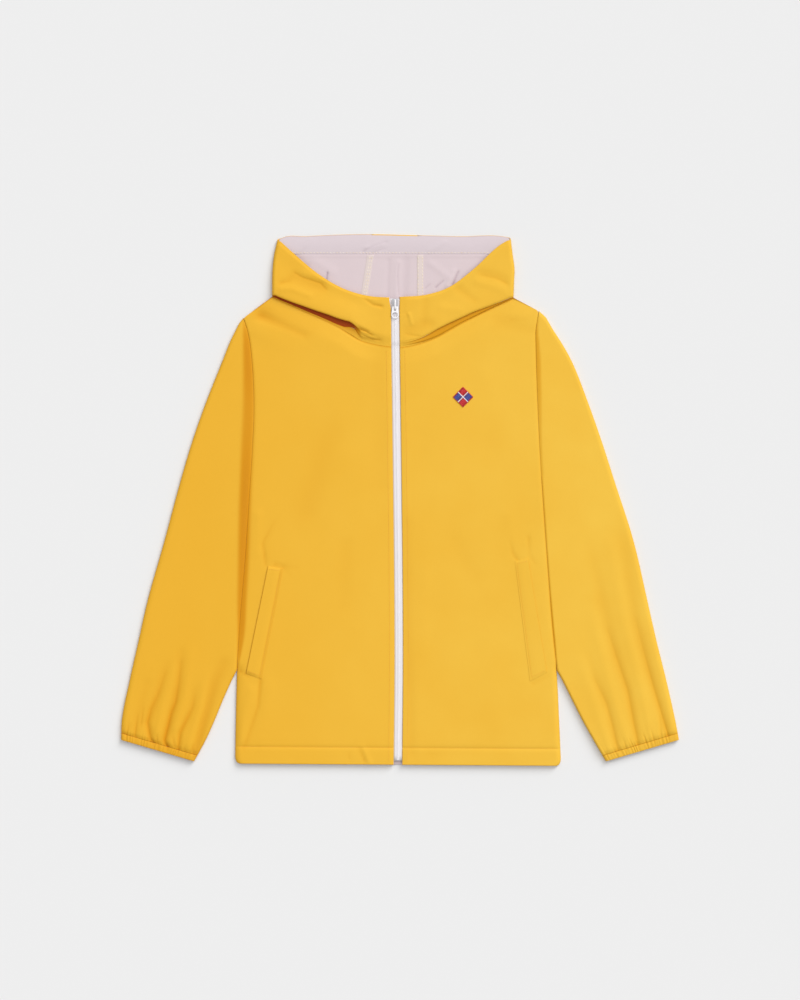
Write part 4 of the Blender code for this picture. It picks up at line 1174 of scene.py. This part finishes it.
def make_sleeve(side):
    outer_line, inner_line, armhole = sleeve_lines(side)
    outer_run = length(outer_line) - CUFF_DEPTH - SEAM
    inner_run = length(inner_line) - CUFF_DEPTH - SEAM
    armhole_run = length(armhole)
    edges = {}

    def ring(down):
        """Ends of a ring round the sleeve, and how much it still follows the armhole."""
        if down not in edges:
            outer = walk(outer_line, outer_run * down)
            inner = walk(inner_line, inner_run * down ** 2)
            edges[down] = outer, inner, max(1 - down / FOLLOWING, 0.0) ** 2
        return edges[down]

    def plan(share, down):
        outer, inner, fan = ring(down)
        level = [lerp(a, b, share) for a, b in zip(outer, inner)]
        if fan == 0:
            return level
        curved = walk(armhole, armhole_run * share)
        straight = [lerp(a, b, share) for a, b in zip(armhole[0], armhole[-1])]
        return [a + fan * (c - d) for a, c, d in zip(level, curved, straight)]

    def place(station, down):
        outer, inner = ring(down)[:2]
        above_casing = outer_run * (1 - down)
        folds = [0.0, 0.0]

        def top_height(share):
            x, y = plan(share, down)
            away = 99.0
            if down < FOLLOWING:
                away = min(to_segment(x, y, *a, *b)[0] for a, b in zip(armhole, armhole[1:]))
            z = SLEEVE_TOP - 1.1 * (1 - round_over(away, ARMHOLE_ROUNDING[side]))
            z += 0.9 * ease(above_casing / 5) * (1 - ease(above_casing / 70))
            z -= 0.5 * (1 - ease(above_casing / 4))
            folds[:] = fold_heights(x, y, SLEEVE_FOLDS[side], SLEEVE_CREASES[side])
            drawn = 0.0
            if above_casing < 26:
                drawn = 0.4 * gathers(share, side) * math.exp(-above_casing / 6)
                folds[1] += min(drawn, 0.0)
            return z + folds[0] + folds[1] + max(drawn, 0.0) + unevenness(x, y, side + 7.0)

        inner_round = lerp(INNER_ROUNDING[side], 3.0, down)
        sewn = ease((inner[1] - NOTCH_Y) / 16)
        share, z = tube_point(station, outer, inner, 7.0, inner_round, top_height,
                              SLEEVE_TOP / 2 + 2.5 * sewn)
        x, y = plan(share, down)
        # painted shade in the sleeve's folds, at the casing's seam and beside the body
        depth = fold_shade(*folds) + 0.12 * groove(above_casing, 1.2)
        if y > NOTCH_Y - 8:
            depth += sleeve_valley_shade(side, x, y)
        return x, y, z, min(depth, 1.0)

    rows = [0.0, 0.001, 0.003, 0.006, 0.01, 0.015] + steps(0.022, 0.6, 66) + steps(0.6, 0.97, 78)[1:]
    rows += [0.975, 0.979, 0.983, 0.986, 0.989, 0.992, 0.9945, 0.9965, 0.9985, 1.0]
    return cloth(f"sleeve_{SIDE_NAMES[side]}", tube_section(126), rows[::-1], place, yellow_cloth,
                 lining_cloth, turned=side > 0, closed=True)


def make_cuff(side):
    """Casing of the elastic, rippled by it."""
    outer_line, inner_line = sleeve_lines(side)[:2]
    outer_run, inner_run = length(outer_line), length(inner_line)

    def place(station, down):
        back_up = CUFF_DEPTH * (1 - down)
        outer = walk(outer_line, outer_run - back_up)
        inner = walk(inner_line, inner_run - back_up)
        puff = 1 - (2 * down - 1) ** 4
        valley = [0.0]

        def top_height(share):
            x, y = (lerp(a, b, share) for a, b in zip(outer, inner))
            pulled = fold_height(x, y + CUFF_DEPTH * down, SLEEVE_CREASES[side], sharp=True)
            pulled *= 1 - 0.6 * down
            ripple = 0.38 * gathers(share, side) * (0.5 + 0.5 * puff) - 0.15
            valley[0] = min(ripple, 0.0) + 0.5 * pulled
            return SLEEVE_TOP - 0.7 + 0.6 * puff + ripple + 0.6 * pulled

        share, z = tube_point(station, outer, inner, 5.0, 4.0, top_height)
        x, y = (lerp(a, b, share) for a, b in zip(outer, inner))
        if station[0] == "under":
            z += 0.15 * (1 + gathers(share, side))
        # painted shade in the casing's gathers and at its seam; the 0.08 darkens the whole casing a little
        depth = fold_shade(0.0, valley[0]) + 0.12 * groove(CUFF_DEPTH * down, 1.0) + 0.08
        return x, y, z, min(depth, 1.0)

    rows = [1.0, 0.985, 0.96, 0.92, 0.86, 0.78, 0.68, 0.58, 0.48, 0.38, 0.28, 0.2, 0.13, 0.07, 0.03, 0.0]
    return cloth(f"cuff_{SIDE_NAMES[side]}", tube_section(210), rows, place, yellow_cloth, lining_cloth,
                 wall=1.0, turned=side > 0, closed=True)


# ---------------------------------------------------------------- hood

def smooth_path(points, t):
    """Point at t, 0 to 1, of a smooth curve through points."""
    place = t * (len(points) - 1)
    i = min(int(place), len(points) - 2)
    t = place - i
    nearby = points[max(i - 1, 0)], points[i], points[i + 1], points[min(i + 2, len(points) - 1)]
    return [0.5 * (2 * q + (r - p) * t + (2 * p - 5 * q + 4 * r - s) * t ** 2
                   + (3 * q - p - 3 * r + s) * t ** 3) for p, q, r, s in zip(*nearby)]


def roll_section(side, x, across):
    """The hood from the neck seam to the top of its roll: distances above the seam, heights, and painted
    shade, darkest in the hollow under the roll."""
    edge, gap, under, lowest, much = [column(x) for column in roll_columns[side]]
    seam_z = FRONT_TOP - neck_dip(x) - NECK_SINK * ease(abs(x - chest_x) / 60)
    crest_d = edge + 4.5
    crest_z = hood_main(side, across, CREST_UP)
    start = max(edge - gap, 0.3)
    roll_shade = ROLL_PAINTED_SHADE[side]
    lowest += ROLL_RAISED[side]
    # each row: distance above the seam, height, and painted shade
    rolled = (
        (0.0, seam_z, 0.1),
        (start, lerp(seam_z, lowest, 0.08), 0.35 * roll_shade),
        (start + 0.12 * gap, lerp(seam_z, lowest, 0.7), roll_shade),
        (start + 0.3 * gap, lowest, roll_shade),
        (edge + 0.4 * under, lowest, roll_shade),
        (edge + under, lerp(lowest, crest_z, 0.12), roll_shade),
        (edge + 0.5 * under, lerp(lowest, crest_z, 0.38), roll_shade),
        (edge, lerp(lowest, crest_z, 0.62), 0.5 * roll_shade),
        (edge + 0.4, crest_z - 1.1, 0.0),
        (edge + 2.0, crest_z - 0.25, 0.0),
        (crest_d, crest_z, 0.0),
    )
    last = len(rolled) - 1
    plain = [(crest_d * i / last, lerp(seam_z, crest_z, ease(i / last)), 0.0)
             for i in range(last + 1)]
    return [[lerp(a, b, much) for a, b in zip(p, q)] for p, q in zip(plain, rolled)], much


def hood_rows():
    """Up a side piece of the hood, over its roll to the turned edge of the mouth or brim."""
    rows = [("roll", t) for t in steps(0.0, 1.0, 44)]
    rows += [("main", t) for t in steps(0.0, 1.0, 52)[1:-1]]
    rows += [("main", t) for t in (0.985, 0.992, 1.0)]
    rows += [("turn", angle) for angle in TURN]
    return rows + [("back", 0.15), ("back", 0.5), ("back", 1.0)]


ROLL_SHARE = 0.16        # of the hood's height that its roll takes up where it lies on the floor
SINK_FROM = 0.93         # share across the front from which it sinks to the zip
FRONT_END = 0.988        # share across it where its edge is turned


def make_hood(side):
    """From the centre strip along the floor, round the side fold and over the front to the zip."""
    corner = neck_corner[side]
    fold_top_y = HOOD_SIDE[-1][0]
    columns = [("floor", share) for share in steps(0.0, 1.0, 18)[:-1]]
    columns += [("fold", math.radians(angle)) for angle in range(0, 180, 10)]
    columns += [("front", share) for share in steps(0.0, SINK_FROM, 88)]
    columns += [("front", share) for share in (0.94, 0.95, 0.96, 0.97, 0.98, FRONT_END)]
    columns += [("zip_turn", angle) for angle in TURN] + [("zip_back", 1.5), ("zip_back", 4.5)]

    def fold_x(up, angle):
        y = lerp(corner[1], fold_top_y, up)
        return hood_side[side](y) - side * HOOD_FOLD * (1 - math.sin(angle))

    def flare(y):
        return ZIP_FLARE[side] * ease((y - 254) / 16)

    def back_point(share, up):
        y_seam = lerp(BACK_NECK[2][1], BRIM[4][1], up)
        x = lerp(lining_seam[side](y_seam) + side * SEAM / 2, fold_x(up, 0.0), share)
        x_low = lerp(lining_seam[side](261.0), fold_x(0.0, 0.0), share)
        return x, lerp(back_neck(x_low) + SEAM, brim(x), up), 0.0

    def front_line(share):
        """A column of the front: x of its ends, y of the seam, and its length."""
        low_x = lerp(fold_x(0.0, 0.0), neck_x + side * ZIP_HALF_OPENING, share)
        high_x = lerp(fold_x(1.0, 0.0), mouth_x + side * ZIP_HALF_OPENING, share)
        low_y = neck_seam(low_x) + SEAM
        return low_x, high_x, low_y, mouth(high_x) - low_y

    def front_point(share, row):
        """Point of the front, and its painted shade in folds and under the roll."""
        low_x, high_x, low_y, total = front_line(share)
        section, much = roll_section(side, low_x, share)
        kind, value = row
        if kind == "roll":
            d, z, depth = smooth_path(section, value)
        else:
            d = lerp(section[-1][0], total - EDGE_RADIUS, value)
            z = hood_main(side, share, lerp(CREST_UP, 1.0, value))
            z = lerp(section[-1][1], z, ease(value / 0.12))
            depth = 0.0
        up = max(d, 0.0) / total
        bow = fold_x(up, 0.0) - lerp(fold_x(0.0, 0.0), fold_x(1.0, 0.0), up)
        x, y = lerp(low_x, high_x, up) + bow * (1 - share), low_y + d
        x += side * flare(y) * ease((share - 0.8) / 0.188)
        shown = ease(share / 0.06)
        if kind == "roll":
            shown *= lerp(ease(d / 3), ease((value - 0.8) / 0.2), ease(much / 0.7))
        folds = fold_heights(x, y, HOOD_FOLDS[side], HOOD_CREASES[side])
        soft, sharp = (height * shown for height in folds)
        z += soft + sharp + unevenness(x, y, side + 3.0) * shown
        return x, y, z, min(max(depth, 0.0) + fold_shade(soft, sharp), 1.0)

    def place(column, row):
        kind, value = column
        row_kind, row_value = row
        turned = row_kind in ("turn", "back")
        base = ("main", 1.0) if turned else row
        up = ROLL_SHARE * base[1] if base[0] == "roll" else lerp(ROLL_SHARE, 1.0, base[1])
        share = {"front": value, "floor": 0.0, "fold": 0.0}.get(kind, FRONT_END)
        depth = 0.0
        if kind == "floor":
            point = list(back_point(value, up))
            inward = (0.0, 1.0)
        elif kind == "fold":
            low, high = back_point(1.0, up), front_point(0.0, base)
            bend = (1 - math.cos(value)) / 2
            y = lerp(low[1], high[1], bend)
            corner_y = corner[1] + SEAM
            y += (corner_y - y) * (1 - up) ** 8 * math.sin(value)
            point = [fold_x(up, value), y, high[2] * bend]
            inward = (-side * math.sin(value), math.cos(value))
            # painted shade of the front carried round the fold
            depth = high[3] * bend ** 2
        else:
            *point, depth = front_point(share, base)
            inward = (0.0, -1.0)
        if turned:
            free = {"floor": 0.35, "fold": max(value / math.pi, 0.35)}.get(kind, 1.0)
            radius = EDGE_RADIUS * free
            sweep, back = turned_edge(row_kind, row_value)
            back = 12.0 * free * back
            if back and kind not in ("floor", "fold"):
                run = front_line(share)[3] - 18
                point[2] = front_point(share, ("main", 1 - back / run))[2]
            point[1] += radius * math.sin(sweep) - back
            point[0] += inward[0] * radius * (1 - math.cos(sweep))
            point[2] += inward[1] * radius * (1 - math.cos(sweep))
        if kind in ("zip_turn", "zip_back"):
            sweep, back = turned_edge(kind, value)
            opening = ZIP_HALF_OPENING + flare(point[1])
            past_edge = opening + EDGE_RADIUS - EDGE_RADIUS * math.sin(sweep) + back
            point[0] = zip_x(point[1]) + side * past_edge
            point[2] -= EDGE_RADIUS * (1 - math.cos(sweep))
        if kind.startswith("zip") or (kind == "front" and value > SINK_FROM):
            point[2] -= ZIP_EDGE_DROP * ease((share - SINK_FROM) / 0.058)
        return *point, depth

    return cloth(f"hood_{SIDE_NAMES[side]}", columns, hood_rows(), place, yellow_cloth, lining_cloth,
                 turned=side > 0)


def make_hood_centre():
    """Strip between the side pieces, flat on the floor under the lining."""
    def place(share, up):
        y_seam = lerp(BACK_NECK[2][1], BRIM[4][1], up)
        x = lerp(lining_seam[-1](y_seam) + SEAM / 2, lining_seam[1](y_seam) - SEAM / 2, share)
        return x, lerp(back_neck(x) + SEAM, brim(x), up), FLOOR_WALL

    return cloth("hood_centre", steps(0.0, 1.0, 20), steps(0.0, 1.0, 26), place, yellow_cloth,
                 wall=FLOOR_WALL)


def lining_low_y(x):
    """Lower edge of the lining, which lies under the hood's front."""
    return min(mouth(x) - TUCK, BRIM_SEAM_Y - 4)


def lining_skin(x, y):
    """Outside of the lining: its folds, and the slight ridge of its seam with the facing."""
    ridge = 0.3 * groove(BRIM_SEAM_Y - 2.0 - y, 2.5)
    folds = sum(fold_heights(x, y, LINING_FOLDS, LINING_CREASES))
    return LINING_TOP + 0.3 + folds + ridge + 0.8 * abs(unevenness(x, y, 11.0))


def make_linings():
    """Three panels that lie on the hood's back and show through its mouth."""
    right_edge, left_edge = (lambda y, s=side: hood_side[s](y) - s * HOOD_FOLD for side in SIDES)
    lines = right_edge, lining_seam[-1], lining_seam[1], left_edge
    panels = ("right", 110), ("centre", 60), ("left", 110)
    made = []
    for (name, count), first, last in zip(panels, lines, lines[1:]):
        def place(share, up):
            guess = lerp(first(310), last(310), share)
            y = lerp(lining_low_y(guess), BRIM_SEAM_Y, up)
            x = lerp(first(y) + SEAM / 2, last(y) - SEAM / 2, share)
            y = lerp(lining_low_y(x), BRIM_SEAM_Y, up)
            soft, sharp = fold_heights(x, y, LINING_FOLDS, LINING_CREASES)
            # painted shade under the mouth's edge, in the lining's creases and at the facing seam
            mouth_edge_shade = 0.06 * (1 - ease((y - mouth(x)) / 7))
            depth = 1.5 * fold_shade(soft, 2.0 * sharp) + mouth_edge_shade
            depth += 0.08 * groove(BRIM_SEAM_Y - y, 1.2)
            return x, y, lining_skin(x, y), min(depth, 1.0)

        ups = steps(0.0, 0.97, 56) + [0.98, 0.988, 0.994, 1.0]
        made.append(cloth(f"hood_lining_{name}", steps(0.0, 1.0, count), ups, place, lining_cloth,
                          wall=LINING_WALL))
    return made


def facing_skin(x, y, up):
    """Outside of the facing: up is the share of its width above the seam."""
    crown = 0.55 * math.sin(math.pi * up)
    folds = sum(fold_heights(x, y, FACING_FOLDS, FACING_CREASES))
    return LINING_TOP + 0.3 + crown + folds + 0.5 * abs(unevenness(x, y, 13.0))


def make_facing():
    """Strip along the brim, crowned by the turned edge under it."""
    ends = HOOD_SIDE[-1][1] + 1.6, HOOD_SIDE[-1][2] - 1.6

    def place(share, up):
        x = lerp(*ends, share)
        y = lerp(BRIM_SEAM_Y + SEAM, brim(x) - 1.3, up)
        # painted shade along the seam and in the creases
        depth = 0.08 * groove(up, 0.05)
        depth += 1.4 * fold_shade(0.0, fold_height(x, y, FACING_CREASES, sharp=True))
        return x, y, facing_skin(x, y, up), min(depth, 1.0)

    rows = [0.0, 0.004, 0.012, 0.03, 0.06] + steps(0.1, 0.9, 16) + [0.94, 0.97, 0.99, 1.0]
    return cloth("hood_brim_facing", steps(0.0, 1.0, 190), rows, place, facing_cloth, wall=LINING_WALL)


def make_lining_tape(side):
    """Tape that seals a seam of the lining."""
    def place(share, up):
        y = lerp(lining_low_y(lining_seam[side](290)) + 1, BRIM_SEAM_Y - 0.6, up)
        x = lining_seam[side](y) + LINING_TAPE_SHIFT[side] + share * LINING_TAPE_HALF[side]
        return x, y, lining_skin(x, y) + 0.5 - 0.28 * share ** 4

    columns = [-1.0, -0.99, -0.96, -0.9] + steps(-0.75, 0.75, 6) + [0.9, 0.96, 0.99, 1.0]
    return cloth(None, columns, steps(0.0, 1.0, 40), place, seam_tape_film, wall=0.25,
                 name=f"lining_seam_tape_{SIDE_NAMES[side]}")


# ---------------------------------------------------------------- what lies on the fronts

def welt_point(side, share, up, rise):
    """Point above the front: share from the welt's outer edge to its inner one, up its length."""
    top_inner, top_outer, bottom_outer, bottom_inner = WELT[side]
    first = [lerp(a, b, up) for a, b in zip(bottom_outer, top_outer)]
    last = [lerp(a, b, up) for a, b in zip(bottom_inner, top_inner)]
    x, y = (lerp(a, b, share) for a, b in zip(first, last))
    return x, y, front_skin(side, x, y) + rise


def make_welt(side):
    """Flat strip over the pocket's mouth, folded at its outer edge."""
    def rise(share, up):
        end = min(up, 1 - up)
        free = ease((1 - share) / 0.5) * ease(end / 0.03)
        high = (LIFT + WELT_RISE[side] - 0.2) * lerp(0.25, 1.0, free) * round_over(end + 0.001, 0.008)
        pressed = 0.4 * (1 - round_over(share, 0.03)) + 0.2 * groove(share - WELT_SEWN, 0.04)
        return 0.2 + high - WELT_SHARPNESS[side] * pressed

    def place(share, up):
        # painted shade along the stitched line, at the inner edge and at the opening
        sewn = 0.18 * groove(share - WELT_SEWN, 0.05) + 0.14 * groove(1 - share, 0.04)
        opening = 0.5 * groove(share, 0.02)
        return *welt_point(side, share, up, rise(share, up)), WELT_SHARPNESS[side] * (sewn + opening)

    shares = [0.0, 0.01, 0.03, 0.06, 0.12, 0.2, 0.35, 0.5, 0.65, 0.78, 0.85, 0.9, 0.94, 0.97, 0.99, 1.0]
    ups = [0.0, 0.002, 0.005, 0.01, 0.02, 0.035] + steps(0.05, 0.95, 56)
    ups += [0.965, 0.98, 0.99, 0.995, 0.998, 1.0]
    name = f"pocket_welt_{SIDE_NAMES[side]}"
    piece = cloth(name, shares, ups, place, yellow_cloth, wall=0.4, turned=side > 0)
    rows = [[(WELT_SEWN, up) for up in steps(0.03, 0.97, 60)]]
    rows += [[(share, up) for share in steps(0.1, WELT_SEWN, 8)] for up in (0.975, 0.025)]
    lines = [[welt_point(side, share, up, rise(share, up) + 0.08) for share, up in row] for row in rows]
    stitches(name + "_stitching", lines, yellow_thread, pitch=2.8, run=2.0)
    return piece


def badge_point(a, b, rise):
    """Point above the badge's place, whose corners are a and b of -1 and 1."""
    x = BADGE_X + (a + b) / 2 * BADGE_HALF
    y = BADGE_Y + (b - a) / 2 * BADGE_HALF
    return Vector((x, y, front_skin(1, x, y) + (LIFT + rise)))


def make_badge():
    """Embroidered diamond: four satin fields, white lines between them and a red border."""
    ground = cloth("badge", steps(-1.0, 1.0, 16), steps(-1.0, 1.0, 16),
                   lambda a, b: badge_point(a, b, 0.45), red_thread, wall=0.4,
                   name="badge_ground")
    threads = {"red": red_thread, "blue": blue_thread, "white": white_thread}
    fields = {colour: bmesh.new() for colour in threads}
    middle, inner, outer = 0.07, 0.9, 1.02     # half the white line, and the border's two edges

    def satin(colour, first, last, half_width, first_rise, last_rise):
        start, end = badge_point(*first, first_rise), badge_point(*last, last_rise)
        bead(fields[colour], start, end, half_width, 0.3)

    for quarter, (i, j) in enumerate(((-1, -1), (1, -1), (1, 1), (-1, 1))):
        for b in steps(middle, 0.93, 25):
            satin("red" if quarter % 2 else "blue", (i * 0.06, j * b), (i * 0.94, j * b), 0.24, 0.55, 0.55)
    for t in steps(-0.95, 0.95, 45):
        for way in (1, -1):
            satin("white", (t, -middle)[::way], (t, middle)[::way], 0.26, 0.75, 0.75)
        for edge in (-1, 1):
            for way in (1, -1):
                satin("red", (t, edge * inner)[::way], (t, edge * outer)[::way], 0.27, 0.6, 0.4)
    for colour, bm in fields.items():
        settle(add_piece(f"badge_{colour}_thread", bm, [threads[colour]]))
    return ground


def make_front_stitching(side):
    """Topstitching beside the zip and along the hem."""
    beside_zip = [(zip_x(y) + side * (ZIP_HALF_OPENING + 6.8), y)
                  for y in steps(HEM_RIGHT_Y + 2, neck_seam(neck_x) - 3, 160)]
    first = side_x(side, hem_y(0) + HEM_DEPTH) - side * 3
    last = zip_x(HEM_LEFT_Y) + side * (ZIP_HALF_OPENING + 1.5)
    along_hem = [(x, hem_y(x) + HEM_DEPTH) for x in steps(first, last, 150)]
    lines = [[(x, y, front_skin(side, x, y) + STITCH_RISE) for x, y in line]
             for line in (beside_zip, along_hem)]
    stitches(f"front_{SIDE_NAMES[side]}_stitching", lines, yellow_thread)


def make_lining_stitching():
    """Cream stitches along the facing and the lining's seams."""
    y = BRIM_SEAM_Y + 2.0
    lines = [[(x, y, facing_skin(x, y, 2.0 / 26) + 0.2) for x in steps(-157.0, 141.0, 120)]]
    for side, shift in ((-1, 4.6), (-1, 1.8), (1, 0.9), (1, 6.8)):
        line = []
        for y in steps(lining_low_y(lining_seam[side](290)) + 1, BRIM_SEAM_Y - 1, 40):
            x = lining_seam[side](y) + shift
            line.append((x, y, lining_skin(x, y) + 0.5))
        lines.append(line)
    stitches("lining_stitching", lines, lining_thread, pitch=4.4, run=3.0, thick=0.4)


# ---------------------------------------------------------------- zip

def make_tape(side):
    """Half of the tape. The two halves part above the chain, round the slider's post."""
    def place(share, y):
        inner = 0.15 + 2.0 * ease((y - 257) / 9)
        raised = TAPE_RISE * (1 - ease((share - 0.5) / 0.12))
        return zip_x(y) + side * lerp(inner, ZIP_TAPE_HALF, share), y, tape_height(y) + raised

    rows = steps(ZIP_BOTTOM_Y, 180.0, 70) + steps(182.0, ZIP_TOP_Y, 44)
    return cloth(f"zip_tape_{SIDE_NAMES[side]}", steps(0.0, 1.0, 16), rows, place, zip_tape_cloth,
                 wall=TAPE_WALL, turned=side < 0)


def make_coil():
    """Nylon coil: the loops of the two sides lie between each other."""
    bm = bmesh.new()
    count = int((CHAIN_TOP_Y - ZIP_BOTTOM_Y - 1) / TOOTH_PITCH)
    for i in range(count):
        for side in SIDES:
            y = ZIP_BOTTOM_Y + 1 + (i + (0.5 if side > 0 else 0.0)) * TOOTH_PITCH
            top = tape_height(y) + CHAIN_LIFT
            x = zip_x(y)
            outer, inner = (x + side * TOOTH_OUT, y, top - 0.7), (x - side * TOOTH_IN, y + 0.25, top - 0.35)
            bead(bm, outer, inner, 0.5, 0.4)
    settle(add_piece("zip_coil", bm, [coil_nylon]), "zip_chain")


def round_point(half_width, half_height, middle_y, degrees):
    angle = math.radians(degrees)
    return half_width * math.cos(angle), middle_y + half_height * math.sin(angle)


def rounded_outline(half_low, half_high, low, high, radius):
    """Outline of a plate with round corners, wider at one end."""
    outline = []
    for x, y, first in ((half_low, low, -90), (half_high, high, 0), (-half_high, high, 90),
                        (-half_low, low, 180)):
        centre_x = x - math.copysign(radius, x)
        centre_y = y + (radius if y == low else -radius)
        for angle in steps(first, first + 90, 6):
            away_x, y_there = round_point(radius, radius, centre_y, angle)
            outline.append((centre_x + away_x, y_there))
    return outline


def make_slider():
    """Two plates, the post between them and the arched bridge."""
    x = slider_x
    edge = 0.3
    top = tape_height(CHAIN_TOP_Y) + LIFT + SLIDER_OPENING + LIFT
    under = tape_height(CHAIN_TOP_Y) - 1.0 - LIFT
    middle_y = (SLIDER_TOP_Y + SLIDER_BOTTOM_Y) / 2
    half_length = (SLIDER_TOP_Y - SLIDER_BOTTOM_Y) / 2
    outline = rounded_outline(SLIDER_HALF - 1.0, SLIDER_HALF - edge, edge - half_length,
                              half_length - edge, 1.4)
    made = []
    for name, z in (("upper", top + SLIDER_PLATE / 2), ("lower", under - SLIDER_PLATE / 2)):
        place = Matrix.Translation(Vector((x, middle_y, z)) * MM)
        made.append(plate(f"slider_{name}_plate", [outline], SLIDER_PLATE, edge, place, slider_metal))
    bm = bmesh.new()
    post = bmesh.ops.create_cone(bm, cap_ends=True, segments=16, radius1=0.8 * MM, radius2=0.8 * MM,
                                 depth=(top - under + 0.8) * MM)
    bmesh.ops.translate(bm, vec=Vector((x, POST_Y, (top + under) / 2)) * MM, verts=post["verts"])
    made.append(add_piece("slider_post", bm, [slider_metal]))
    arch = [(x, y, top + rise) for y, rise in BRIDGE]
    bm = bmesh.new()
    samples = [Vector(smooth_path(arch, t)) for t in steps(0.0, 1.0, BRIDGE_STEPS)]
    across = Vector((1, 0, 0))
    rings = []
    for i, centre in enumerate(samples):
        along = (samples[min(i + 1, BRIDGE_STEPS)] - samples[max(i - 1, 0)]).normalized()
        turn = Matrix((across, along.cross(across), along)).transposed().to_4x4()
        size = Matrix.Diagonal((BRIDGE_HALF_WIDTH * MM, BRIDGE_HALF_WALL * MM, 1.0, 1.0))
        place = Matrix.Translation(centre * MM) @ turn @ size
        ring = bmesh.ops.create_circle(bm, cap_ends=i in (0, BRIDGE_STEPS), segments=12, radius=1.0,
                                       matrix=place)
        rings.append(ring["verts"])
    for low, high in zip(rings, rings[1:]):
        edges = {edge for vertex in low + high for edge in vertex.link_edges
                 if all(end in low for end in edge.verts) or all(end in high for end in edge.verts)}
        bmesh.ops.bridge_loops(bm, edges=list(edges))
    bmesh.ops.recalc_face_normals(bm, faces=bm.faces)
    made.append(add_piece("slider_bridge", bm, [pull_metal]))
    for piece in made:
        settle(piece)
    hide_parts("zip_slider")


def make_pull():
    """Flat tab with a window that hangs on the bridge and an oval hole near its round end."""
    hinge_z = (tape_height(CHAIN_TOP_Y) + LIFT + SLIDER_OPENING + LIFT + SLIDER_PLATE + LIFT
               + PULL_WALL / 2)
    edge = 0.3
    half_end = PULL_END_HALF - edge
    centre = -(PULL_LENGTH - PULL_END_HALF)
    outline = [(PULL_TOP_HALF - edge, 0.3), (half_end, centre)]
    outline += [round_point(half_end, half_end, centre, angle) for angle in steps(0, -180, 28)[1:-1]]
    outline += [(-half_end, centre), (edge - PULL_TOP_HALF, 0.3)]
    window = [(WINDOW_HALF, WINDOW_TOP), (WINDOW_HALF, WINDOW_BOTTOM),
              (-WINDOW_HALF, WINDOW_BOTTOM), (-WINDOW_HALF, WINDOW_TOP)]
    hole = [round_point(HOLE_HALF_WIDTH, HOLE_HALF_LENGTH, centre - 0.1, angle)
            for angle in range(0, 360, 12)]
    place = Matrix.Translation(Vector((slider_x, HINGE_Y, hinge_z)) * MM)
    place = place @ Matrix.Rotation(PULL_TILT, 4, "X")
    piece = plate("zip_pull_tab", [outline, window, hole], PULL_WALL, edge, place, pull_metal)
    settle(piece, "zip_pull", body="pull_tab")


# ---------------------------------------------------------------- the jacket

def both(make):
    """The right one, then the left one."""
    return {side: make(side) for side in SIDES}


fronts = both(make_front)
back = make_back()
sleeves = both(make_sleeve)
cuffs = both(make_cuff)
hoods = both(make_hood)
hood_centre = make_hood_centre()
linings = make_linings()
facing = make_facing()
lining_tapes = both(make_lining_tape)
welts = both(make_welt)
badge = make_badge()
both(make_front_stitching)
make_lining_stitching()
tapes = both(make_tape)
make_coil()
make_slider()
make_pull()


# ---------------------------------------------------------------- floor, camera and light

# In metres, but for the sensor and the brightness
FLOOR_HALF = 30.0
FLOOR_GAP = 0.0002       # under the jacket
CAMERA_HEIGHT = 4.0      # above the cloth
FRAME_HEIGHT = 1.34      # of the picture, at the cloth
SENSOR = 36.0            # millimetres
SKYLIGHT = 0.39          # brightness of the even white surroundings
LAMP_DISTANCE = 3

bm = bmesh.new()
bmesh.ops.create_grid(bm, x_segments=1, y_segments=1, size=FLOOR_HALF)
bmesh.ops.translate(bm, vec=(0.0, 0.0, -FLOOR_GAP), verts=bm.verts)
floor_finish = finish("pale_floor", (0.745, 0.745, 0.745), 0.9, specular=0.1)
floor = add_piece("floor", bm, [floor_finish], smooth=False)

lens = bpy.data.cameras.new("overhead")
lens.sensor_width = SENSOR
lens.lens = SENSOR * CAMERA_HEIGHT / FRAME_HEIGHT
camera = bpy.data.objects.new("overhead", lens)
camera.location = (0.0, 0.0, CAMERA_HEIGHT + FRONT_TOP * MM)
bpy.context.scene.collection.objects.link(camera)
bpy.context.scene.camera = camera


def soft_light(name, azimuth, elevation, strength, spread):
    """Even light from a wide source far off. Azimuth is counted from +X towards +Y."""
    lamp = bpy.data.lights.new(name, "SUN")
    lamp.energy = strength
    lamp.angle = math.radians(spread)
    source = bpy.data.objects.new(name, lamp)
    a, e = math.radians(azimuth), math.radians(elevation)
    towards = Vector((math.cos(a) * math.cos(e), math.sin(a) * math.cos(e), math.sin(e)))
    source.rotation_mode = "QUATERNION"
    source.rotation_quaternion = towards.to_track_quat("Z", "Y")
    source.location = towards * LAMP_DISTANCE
    bpy.context.scene.collection.objects.link(source)


soft_light("window", azimuth=54.0, elevation=34.0, strength=2.0, spread=34.0)
soft_light("ceiling", azimuth=60.0, elevation=78.0, strength=1.3, spread=60.0)

world = bpy.data.worlds.new("studio")
world.use_nodes = True
surroundings = world.node_tree.nodes["Background"]
surroundings.inputs["Color"].default_value = (1.0, 1.0, 1.0, 1.0)
surroundings.inputs["Strength"].default_value = SKYLIGHT
bpy.context.scene.world = world
bpy.context.scene.view_settings.view_transform = "Standard"
